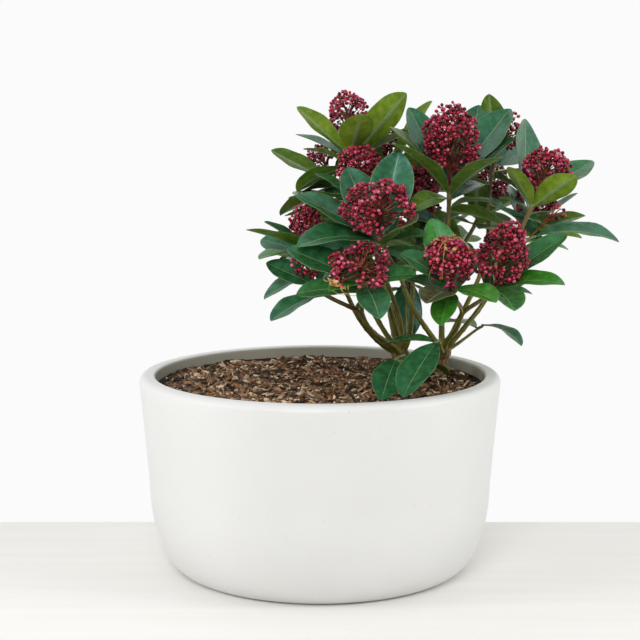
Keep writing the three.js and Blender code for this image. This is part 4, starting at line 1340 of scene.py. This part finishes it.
# %% Leaf grid
ROWS = np.array([0, 0.035, 0.07, 0.1, 0.14, 0.19, 0.25, 0.31, 0.38, 0.45, 0.52, 0.59, 0.66, 0.73, 0.79,
                 0.85, 0.9, 0.94, 0.97, 0.988, 1])
# ROWS are shares of a leaf's length, closer at its ends. COLUMNS are shares of half its width.
COLUMNS = np.array([-1, -0.965, -0.7, -0.4, -0.13, -0.022, 0.022, 0.13, 0.4, 0.7, 0.965, 1])
BLADE_THICK = (0.55, 0.25)  # at the midrib and at the margin
STALK_THICK = 1.7
TIP_FROM, TIP_HALF = 0.88, 0.25  # past this share a leaf may be as narrow as its tip
FLATTENS = (0.05, 0.1)  # where the round stalk begins to flatten, and how much further it is a blade


def leaf_grid():
    """Faces of a leaf and the part that each belongs to: above, below, rib or margin."""
    rows, columns = len(ROWS), len(COLUMNS)
    number = np.arange(rows * columns).reshape(rows, columns)
    under = number + rows * columns
    faces, parts = [], []
    for c in range(columns - 1):
        outer = c in (0, columns - 2)
        from_middle = abs(c - (columns // 2 - 1))
        for r in range(rows - 1):
            stalk = ROWS[r + 1] <= STALK_END
            corners = (r, c), (r, c + 1), (r + 1, c + 1), (r + 1, c)
            faces.append([number[i] for i in corners])
            parts.append("rib" if from_middle == 0 or stalk else "margin" if outer else "above")
            faces.append([under[i] for i in corners[::-1]])
            parts.append("rib" if from_middle <= 1 or stalk else "margin" if outer else "below")
    for r in range(rows - 1):
        faces.append([number[r + 1, 0], under[r + 1, 0], under[r, 0], number[r, 0]])
        faces.append([number[r, -1], under[r, -1], under[r + 1, -1], number[r + 1, -1]])
        parts += ["margin" if ROWS[r] > STALK_END else "rib"] * 2
    for c in range(columns - 1):
        faces.append([number[0, c], under[0, c], under[0, c + 1], number[0, c + 1]])
        faces.append([number[-1, c + 1], under[-1, c + 1], under[-1, c], number[-1, c]])
        parts += ["rib", "rib"]
    return [[int(i) for i in f] for f in faces], parts


LEAF_FACES, LEAF_PARTS = leaf_grid()
print("a leaf has", 2 * len(LEAF_FACES), "triangles")


# %% Shaping a leaf
BROAD = 15  # half the width of a broad leaf: narrower ones wave and roll less
WAVE, WAVES_LONG = 0.7, 15  # how high its margin waves, and how fast along it (radians)
KEEL_POWER = 1.35  # above 1 the fold at the midrib is rounded
ROLL_FROM, ROLL_BACK = 0.8, 12  # the margin rolls back past this share of the half width
RIB, GROOVE, RIB_WIDE = 0.5, 0.2, 0.9  # how far the midrib stands out below and lies in above
TWIST = 9  # degrees at most
SWERVE = 2  # how far a tip may stray to one side


def leaf_points(leaf, rng):
    """The points of one leaf, with its own swerve, twist and wavy margin."""
    share, c = ROWS[:, None], COLUMNS[None]
    centre, normal = leaf_line(leaf, ROWS)
    side = np.cross(leaf["up"], leaf["out"])
    tip = np.clip((share - TIP_FROM) / (1 - TIP_FROM), 0, 1)
    half = half_width(share, leaf["wide"] / 2, STALK_THICK / 2 * (1 - tip) + TIP_HALF * tip)
    blade = ease(np.clip((share - FLATTENS[0]) / FLATTENS[1], 0, 1))
    size = half / BROAD
    phase = rng.uniform(0, math.tau, 2)
    wave = np.sin(share * WAVES_LONG + np.where(c < 0, *phase)) * np.abs(c) ** 2 * WAVE * size
    keel = np.abs(c) ** KEEL_POWER * half * math.tan(math.radians(LEAF["fold"]))
    roll_back = np.clip(np.abs(c) - ROLL_FROM, 0, 1) ** 2 * ROLL_BACK * size
    lift = (keel + wave - roll_back) * blade
    blade_thick = BLADE_THICK[0] + (BLADE_THICK[1] - BLADE_THICK[0]) * np.abs(c)
    stalk_thick = STALK_THICK * np.sqrt(1.05 - c ** 2)
    depth = (stalk_thick + (blade_thick - stalk_thick) * blade) / 2
    near_rib = np.exp(-(c * half / RIB_WIDE) ** 2) * blade * np.clip(1.15 - share, 0, 1)
    twist = math.radians(rng.uniform(-TWIST, TWIST)) * (share - STALK_END) * blade
    swerve = rng.uniform(-SWERVE, SWERVE) * share ** 2 * blade
    across = c * half + swerve
    sheets = []
    for top in (lift + depth - near_rib * GROOVE, lift - depth - near_rib * RIB):
        x = across * np.cos(twist) - top * np.sin(twist)
        z = across * np.sin(twist) + top * np.cos(twist)
        sheets.append(centre[:, None] + x[..., None] * side + z[..., None] * normal[:, None])
    along = np.broadcast_to(share * leaf["long"], across.shape)
    place = np.stack([np.broadcast_to(c * half, across.shape), along,
                      np.full(across.shape, rng.uniform(0, 500))], -1)
    return np.concatenate(sheets).reshape(-1, 3), np.concatenate([place, place]).reshape(-1, 3)


# %% Leaves
for index, stem in enumerate(stems):
    rng = np.random.default_rng(SEEDS["leaves"] + index)
    heap = Heap()
    for arm in stem["arms"]:
        for leaf in arm["leaves"]:
            below = "pale" if leaf["tone"] in PALE_BELOW else "dull"
            skin = {"above": UPPER[leaf["tone"]], "below": UNDER[below], "rib": midrib, "margin": margin}
            number = {part: LEAF_SKINS.index(material) for part, material in skin.items()}
            points, places = leaf_points(leaf, rng)
            heap.put(points, LEAF_FACES, places, [number[part] for part in LEAF_PARTS])
    dress(heap.build(f"leaves_{stem['name']}", LEAF_SKINS), "foliage", f"shoots_{stem['name']}")

# %% [markdown]
# ## Flower heads
#
# A head is a panicle: a red main stalk, side branches that are bare for half their length, and at the
# end of each branch a loose cluster. The branch splits there into a few short arms, and each arm
# carries three or four buds on stalks of their own. A bud is 3 mm across, with four closed crimson
# flaps that meet in a blunt tip. Clusters are spread over the egg by golden angles, as the real ones
# sit round their stalk. Low ones are fewer, so the head hangs open below, and some lie deeper than
# others, which leaves dark gaps. A bud is left out where it would cut into another bud or a leaf.
# Three shades of crimson are dealt out cluster by cluster and then bud by bud. The buds vary in
# tone, but the near-black shade is partly painted shade and the rose partly painted light.

# %% Bud and stalk surfaces
def speckled(name, colours, size, roughness, bump, **gloss):
    """The smooth moist skin of a young shoot, in soft patches of tone."""
    return patchy(name, colours, size, roughness, bump, 1.4, {"Detail": 2.0}, **gloss)


# A bud's skin is thin and moist under a bloom of wax, so each bud has a small bright rosy glint.
BLOOM = {"Specular IOR Level": 1.0, "Specular Tint": (1.0, 0.48, 0.6, 1.0)}

# The dark crimson copy is partly painted shade and the rose copy partly painted light, dealt at random.
BUD_SKINS = [
    speckled("crimson bud", ("6C0620", "9C1A36", "C4445E"), 2, 0.22, 0.1, **BLOOM),
    speckled("dark crimson bud", ("26020A", "3E0614", "5A1226"), 2, 0.24, 0.1, **BLOOM),
    speckled("rose bud", ("A42C50", "C4506E", "DC8098"), 2, 0.24, 0.1, **BLOOM),
]
flower_stalk = speckled("red flower stalk", ("4E181C", "74342C", "966040"), 3, 0.45, 0.1,
                        **{"Specular IOR Level": 0.25})
bract = speckled("small green bract", ("3E5A22", "56722C", "748A42"), 3, 0.5, 0.1)
dried_bit = speckled("dried tan flower scale", ("8A5E38", "B88A50", "D8B478"), 2, 0.7, 0.15)
HEAD_SKINS = [*BUD_SKINS, flower_stalk, bract, dried_bit]
STALK, BRACT, DRIED = range(len(BUD_SKINS), len(HEAD_SKINS))
print(len(HEAD_SKINS), "surfaces for flower heads")
BUD_SHARES = [[0.74, 0.14, 0.12], [0.5, 0.46, 0.04], [0.66, 0.1, 0.24]]  # for each kind of cluster

# %% Bud
BUD_WIDTH = 3.4
BUD_FOOT = 0.42  # how far a bud's stalk ends below its middle, of its width
BUD_LINE = [(0, -0.5), (0.26, -BUD_FOOT), (0.485, -0.14), (0.475, 0.16), (0.3, 0.4), (0, 0.54)]
BUD_SIDES = 8  # every second line down a bud is the groove between two flaps
FLAP, GROOVE_HIGH, GROOVE_LOW = 1.03, 0.94, 0.99  # the grooves are deeper near the tip


def bud_shape():
    """Points of a bud of width 1 whose tip points up, and its faces with three and four points."""
    points, faces = turned(BUD_LINE, BUD_SIDES)
    groove = np.where(points[1:-1, 2] > 0, GROOVE_HIGH, GROOVE_LOW)
    flap = np.arange(len(groove)) % 2 == 1
    points[1:-1, :2] *= np.where(flap, FLAP, groove)[:, None]
    return points, [[face for face in faces if len(face) == corners] for corners in (3, 4)]


BUD, BUD_FACES = bud_shape()
print("a bud has", len(BUD), "points")

# %% Room for a bud
BUD_ROOM = 0.95  # how close two buds may be, of their width
LEAF_ROOM = 0.3  # between a bud and a leaf, in millimetres
LEAF_REACH = 5  # leaves this far from a head are looked at
DRAWN_IN, LEAST_STALK = 2.2, 0.5  # how soon a bud outside the egg is drawn in, and its shortest stalk
OUTSIDE = 0.06  # how far past its limit a bud may end, of the egg's size


def golden_sphere(count, lowest):
    """Unit vectors spread evenly from the top of a ball down to a height, in golden angles."""
    z = 1 - (np.arange(count) + 0.5) / count * (1 - lowest)
    around = np.radians(GOLDEN_ANGLE) * np.arange(count)
    return ring_at(np.sqrt(1 - z * z), around, z)


def in_egg(s, shoot_id, point):
    """How far out in the egg a point lies: 1 is the egg's own surface."""
    local = egg_frame(s) @ (point - s["at"])
    half = np.array([s["size"][0], s["size"][0], s["size"][1]]) / 2
    way = unit(local / half + 1e-9)  # never 0, even in the middle
    surface = egg_point(s, shoot_id, [way], 1)[0] - s["at"]
    return np.linalg.norm(local) / np.linalg.norm(surface)


def around_axis(axis, angle, way):
    """A unit vector at some angle from an axis, turned round it."""
    first, second = square_to(axis)
    return axis * math.cos(angle) + (first * math.cos(way) + second * math.sin(way)) * math.sin(angle)


leaf_trees = []
for points, faces in map(plain_leaf, grown):
    leaf_trees.append((shape_tree(points, faces), points.min(0) - LEAF_REACH, points.max(0) + LEAF_REACH))


class HeadRoom:
    """Keeps the buds of one head apart from each other, from leaves and inside their egg."""

    def __init__(self, arm):
        self.shoot, self.id = arm["shoot"], arm["id"]
        at, reach = self.shoot["at"], max(self.shoot["size"])
        self.near = [tree for tree, low, high in leaf_trees
                     if (low < at + reach).all() and (high > at - reach).all()]
        self.places, self.widths = [], []

    def settle(self, start, at, wide):
        """Where a bud fits on the line from start to at, or None."""
        limit = 1 - wide * BUD_FOOT / (min(self.shoot["size"]) / 2)
        over = in_egg(self.shoot, self.id, at) - limit
        if over > 0:
            at = start + (at - start) * max(LEAST_STALK, 1 - over * DRAWN_IN)
            if in_egg(self.shoot, self.id, at) > limit + OUTSIDE:
                return None
        if self.places:
            gaps = np.linalg.norm(np.array(self.places) - at, axis=1)
            if (gaps < BUD_ROOM * (np.array(self.widths) + wide) / 2).any():
                return None
        if any(tree.find_nearest(Vector(at), wide / 2 + LEAF_ROOM)[0] for tree in self.near):
            return None
        self.places.append(at)
        self.widths.append(wide)
        return at


# %% One cluster of buds
ARMS = 4  # round the one that goes straight on
ARM_LONG, ARM_VARIES = 4.2, (0.75, 1.3)
ARM_ANGLE = (0.65, 1.05)  # of an arm from the branch, in radians
BUDS_PER_ARM = 4
BUD_VARIES = (0.78, 1.1)
END_BUD, SIDE_BUD = (0, 0.2), (0.6, 1.15)  # their angles from the arm, in radians
PEDICEL_LONG, PEDICEL_VARIES = 3.6, (0.8, 1.25)
LOST = 0.3  # the share of buds that a loose cluster lacks
FULL_SIZE = 34  # a head that is narrower or lower than this has shorter arms and stalks


def plan_cluster(room, start, out, loose, rng):
    """The arms of one cluster, each with its end and its buds."""
    short = min(1, min(room.shoot["size"]) / FULL_SIZE)
    turn = rng.uniform(0, math.tau)
    arms = []
    for a in range(ARMS + 1):
        way = out if a == 0 else around_axis(out, rng.uniform(*ARM_ANGLE), turn + a * math.tau / ARMS)
        end = start + way * ARM_LONG * short * rng.uniform(*ARM_VARIES)
        spin = rng.uniform(0, math.tau)
        buds = []
        for k in range(BUDS_PER_ARM):
            if rng.random() < LOST * loose:
                continue
            angle = rng.uniform(*(END_BUD if k == 0 else SIDE_BUD))
            ahead = around_axis(way, angle, spin + k * math.radians(GOLDEN_ANGLE))
            wide = BUD_WIDTH * rng.uniform(*BUD_VARIES)
            wished = end + ahead * PEDICEL_LONG * short * rng.uniform(*PEDICEL_VARIES)
            at = room.settle(end, wished, wide)
            if at is not None:
                buds.append((at, wide, unit(ahead + way * 0.4)))
        if buds:
            arms.append((end, way, buds))
    return arms


# %% Where the clusters go
CLUSTER_AREA = 140  # square millimetres of a head for each cluster
CLUSTER_DEPTH = (0.44, 0.8)  # where a cluster's branch splits, of the egg's size
LOWEST = -0.86  # how far down the egg clusters sit, of its half height
BARE = math.cos(math.radians(30))  # how near a bare side of a head no cluster stands
MISSING = dict(any=0.05, loose=0.3, low=0.45)  # the shares of clusters that aren't there
STRAY = 0.12
UPTURN = 0.3  # how far the end of a branch turns up the head


def plan_head(arm, rng):
    """Clusters of one head: where its branch splits, which way it faces, and its arms."""
    s = arm["shoot"]
    width, height = s["size"]
    loose = s.get("loose", 0)
    count = max(6, round(math.pi * width * (width + 2 * height) / 3 / CLUSTER_AREA))
    room = HeadRoom(arm)
    rows, clusters = egg_frame(s), []
    bare_ways = [unit(np.array(way)) for way in s.get("bare_ways", [])]
    for way in golden_sphere(count, LOWEST):
        low = np.clip(-way[2] - 0.1, 0, 1)
        if rng.random() < MISSING["any"] + MISSING["loose"] * loose + MISSING["low"] * low:
            continue
        if any(way @ rows @ bare > BARE for bare in bare_ways):
            continue
        way = unit(way + rng.normal(0, STRAY, 3))
        start = egg_point(s, arm["id"], [way], rng.uniform(*CLUSTER_DEPTH))[0]
        out = unit(way @ rows + axis_of(s) * UPTURN)
        arms = plan_cluster(room, start, out, loose + low, rng)
        if arms:
            clusters.append((start, out, arms))
    return clusters


# %% Stalks and dried bits
RACHIS = (1.5, 0.7)  # radii of the main stalk of a full head, in millimetres
BRANCH = (0.7, 0.45)
SIDE_ARM = (0.42, 0.36)
PEDICEL = (0.3, 0.36)
BRACT_SIZE = np.array([1.3, 0.35, 3.0])
FLAKES, FLAKE_SIZE = 14, np.array([4.2, 0.6, 7.5])  # dried scales on one head
THREADS, THREAD = 4, (0.35, 0.25)  # dried threads, and their radii


def put_stalk(heap, start, leaving, end, arriving, radii, sides, steps, slot=STALK):
    curve = bend(start, leaving, end, arriving, handle=0.4)
    heap.put(*tube(curve, tapering(*radii), sides, steps), slots=slot)


def turned_shape(size, at, ahead, rng):
    """A bud's shape stretched to a size, pointing ahead at a place, turned about that by chance."""
    spin = rng.uniform(0, math.tau)
    turn = np.array([[math.cos(spin), math.sin(spin), 0], [-math.sin(spin), math.cos(spin), 0], [0, 0, 1]])
    return at + (BUD * size) @ turn @ np.array([*square_to(ahead), ahead])


def put_dried(arm, rng, shapes, slots, heap):
    """Papery scales and thin threads of old flowers that cling to one side of a head."""
    s = arm["shoot"]
    side = unit(np.array(s["dried"], float))
    for _ in range(FLAKES):
        way = unit(side + rng.normal(0, 0.28, 3))
        at = egg_point(s, arm["id"], [way @ egg_frame(s).T], rng.uniform(0.94, 1.02))[0]
        lying = unit(np.cross(way, rng.normal(0, 1, 3)))
        shapes.append(turned_shape(FLAKE_SIZE * rng.uniform(0.5, 1.1), at, unit(lying + way * 0.3), rng))
        slots.append(DRIED)
    for _ in range(THREADS):
        way = unit(side + rng.normal(0, 0.2, 3))
        other = unit(way + rng.normal(0, 0.5, 3) - [0, 0, 0.7])
        ends = [egg_point(s, arm["id"], [w @ egg_frame(s).T], 1.03)[0] for w in (way, other)]
        put_stalk(heap, ends[0], way, ends[1], -other, THREAD, sides=4, steps=8, slot=DRIED)


# %% Building a head
ROOTED = 0.3  # how far a stalk's foot is sunk in the one that carries it
KIND_SHARES = [0.45, 0.35, 0.2]  # how many clusters are of each kind in BUD_SHARES
RACHIS_ENDS = 0.2  # above the middle of a head, of its height
LEAST_SLENDER = 0.55


def build_head(arm, rng, heap):
    """Puts the stalks, bracts and buds of one head on the heap, and counts its buds."""
    s = arm["shoot"]
    clusters = plan_head(arm, rng)
    axis = axis_of(s)
    rachis = straight(arm["neck"] - axis * HEAD["sunk"], s["at"] + axis * s["size"][1] * RACHIS_ENDS)
    slender = min(1, max(LEAST_SLENDER, min(s["size"]) / FULL_SIZE))
    heap.put(*tube(rachis, tapering(*np.array(RACHIS) * slender), sides=8, steps=10), slots=STALK)
    shapes, slots, buds = [], [], 0
    for start, out, arms in clusters:
        along = np.clip((start - rachis.at(0)) @ axis / rachis.length - 0.3, 0.05, 0.97)
        foot = rachis.at(along)
        put_stalk(heap, foot, unit(axis * 0.7 + out), start, out, BRANCH, sides=5, steps=5)
        leaning = around_axis(out, 0.8, rng.uniform(0, 6))
        shapes.append(turned_shape(BRACT_SIZE, start + out * 0.5, leaning, rng))
        slots.append(BRACT)
        kind = rng.choice(len(KIND_SHARES), p=KIND_SHARES)
        for end, way, its_buds in arms:
            put_stalk(heap, start - out * ROOTED, unit(out + way), end, way, SIDE_ARM, sides=3, steps=2)
            for place, wide, ahead in its_buds:
                put_stalk(heap, end - way * ROOTED, unit(way + ahead), place - ahead * wide * BUD_FOOT,
                          ahead, PEDICEL, sides=3, steps=2)
                shapes.append(turned_shape(wide, place, ahead, rng))
                slots.append(rng.choice(len(BUD_SKINS), p=BUD_SHARES[kind]))
                buds += 1
    if "dried" in s:
        put_dried(arm, rng, shapes, slots, heap)
    heap.put_many(np.array(shapes), BUD_FACES, np.array(slots))
    return buds


total_buds = 0
for index, stem in enumerate(stems):
    if stem["bare"]:
        continue
    rng = np.random.default_rng(SEEDS["heads"] + index)
    heap = Heap()
    for arm in stem["arms"]:
        total_buds += build_head(arm, rng, heap)
    dress(heap.build(f"buds_{stem['name']}", HEAD_SKINS), "foliage", f"shoots_{stem['name']}")
print(total_buds, "buds")

# %% Finish
size = {"cad": [list(v) for v in cad_box], "visual": [list(v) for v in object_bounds()]}
print("the dressed plant fills", [round((b - a) / MM) for a, b in zip(*size["visual"])], "mm")
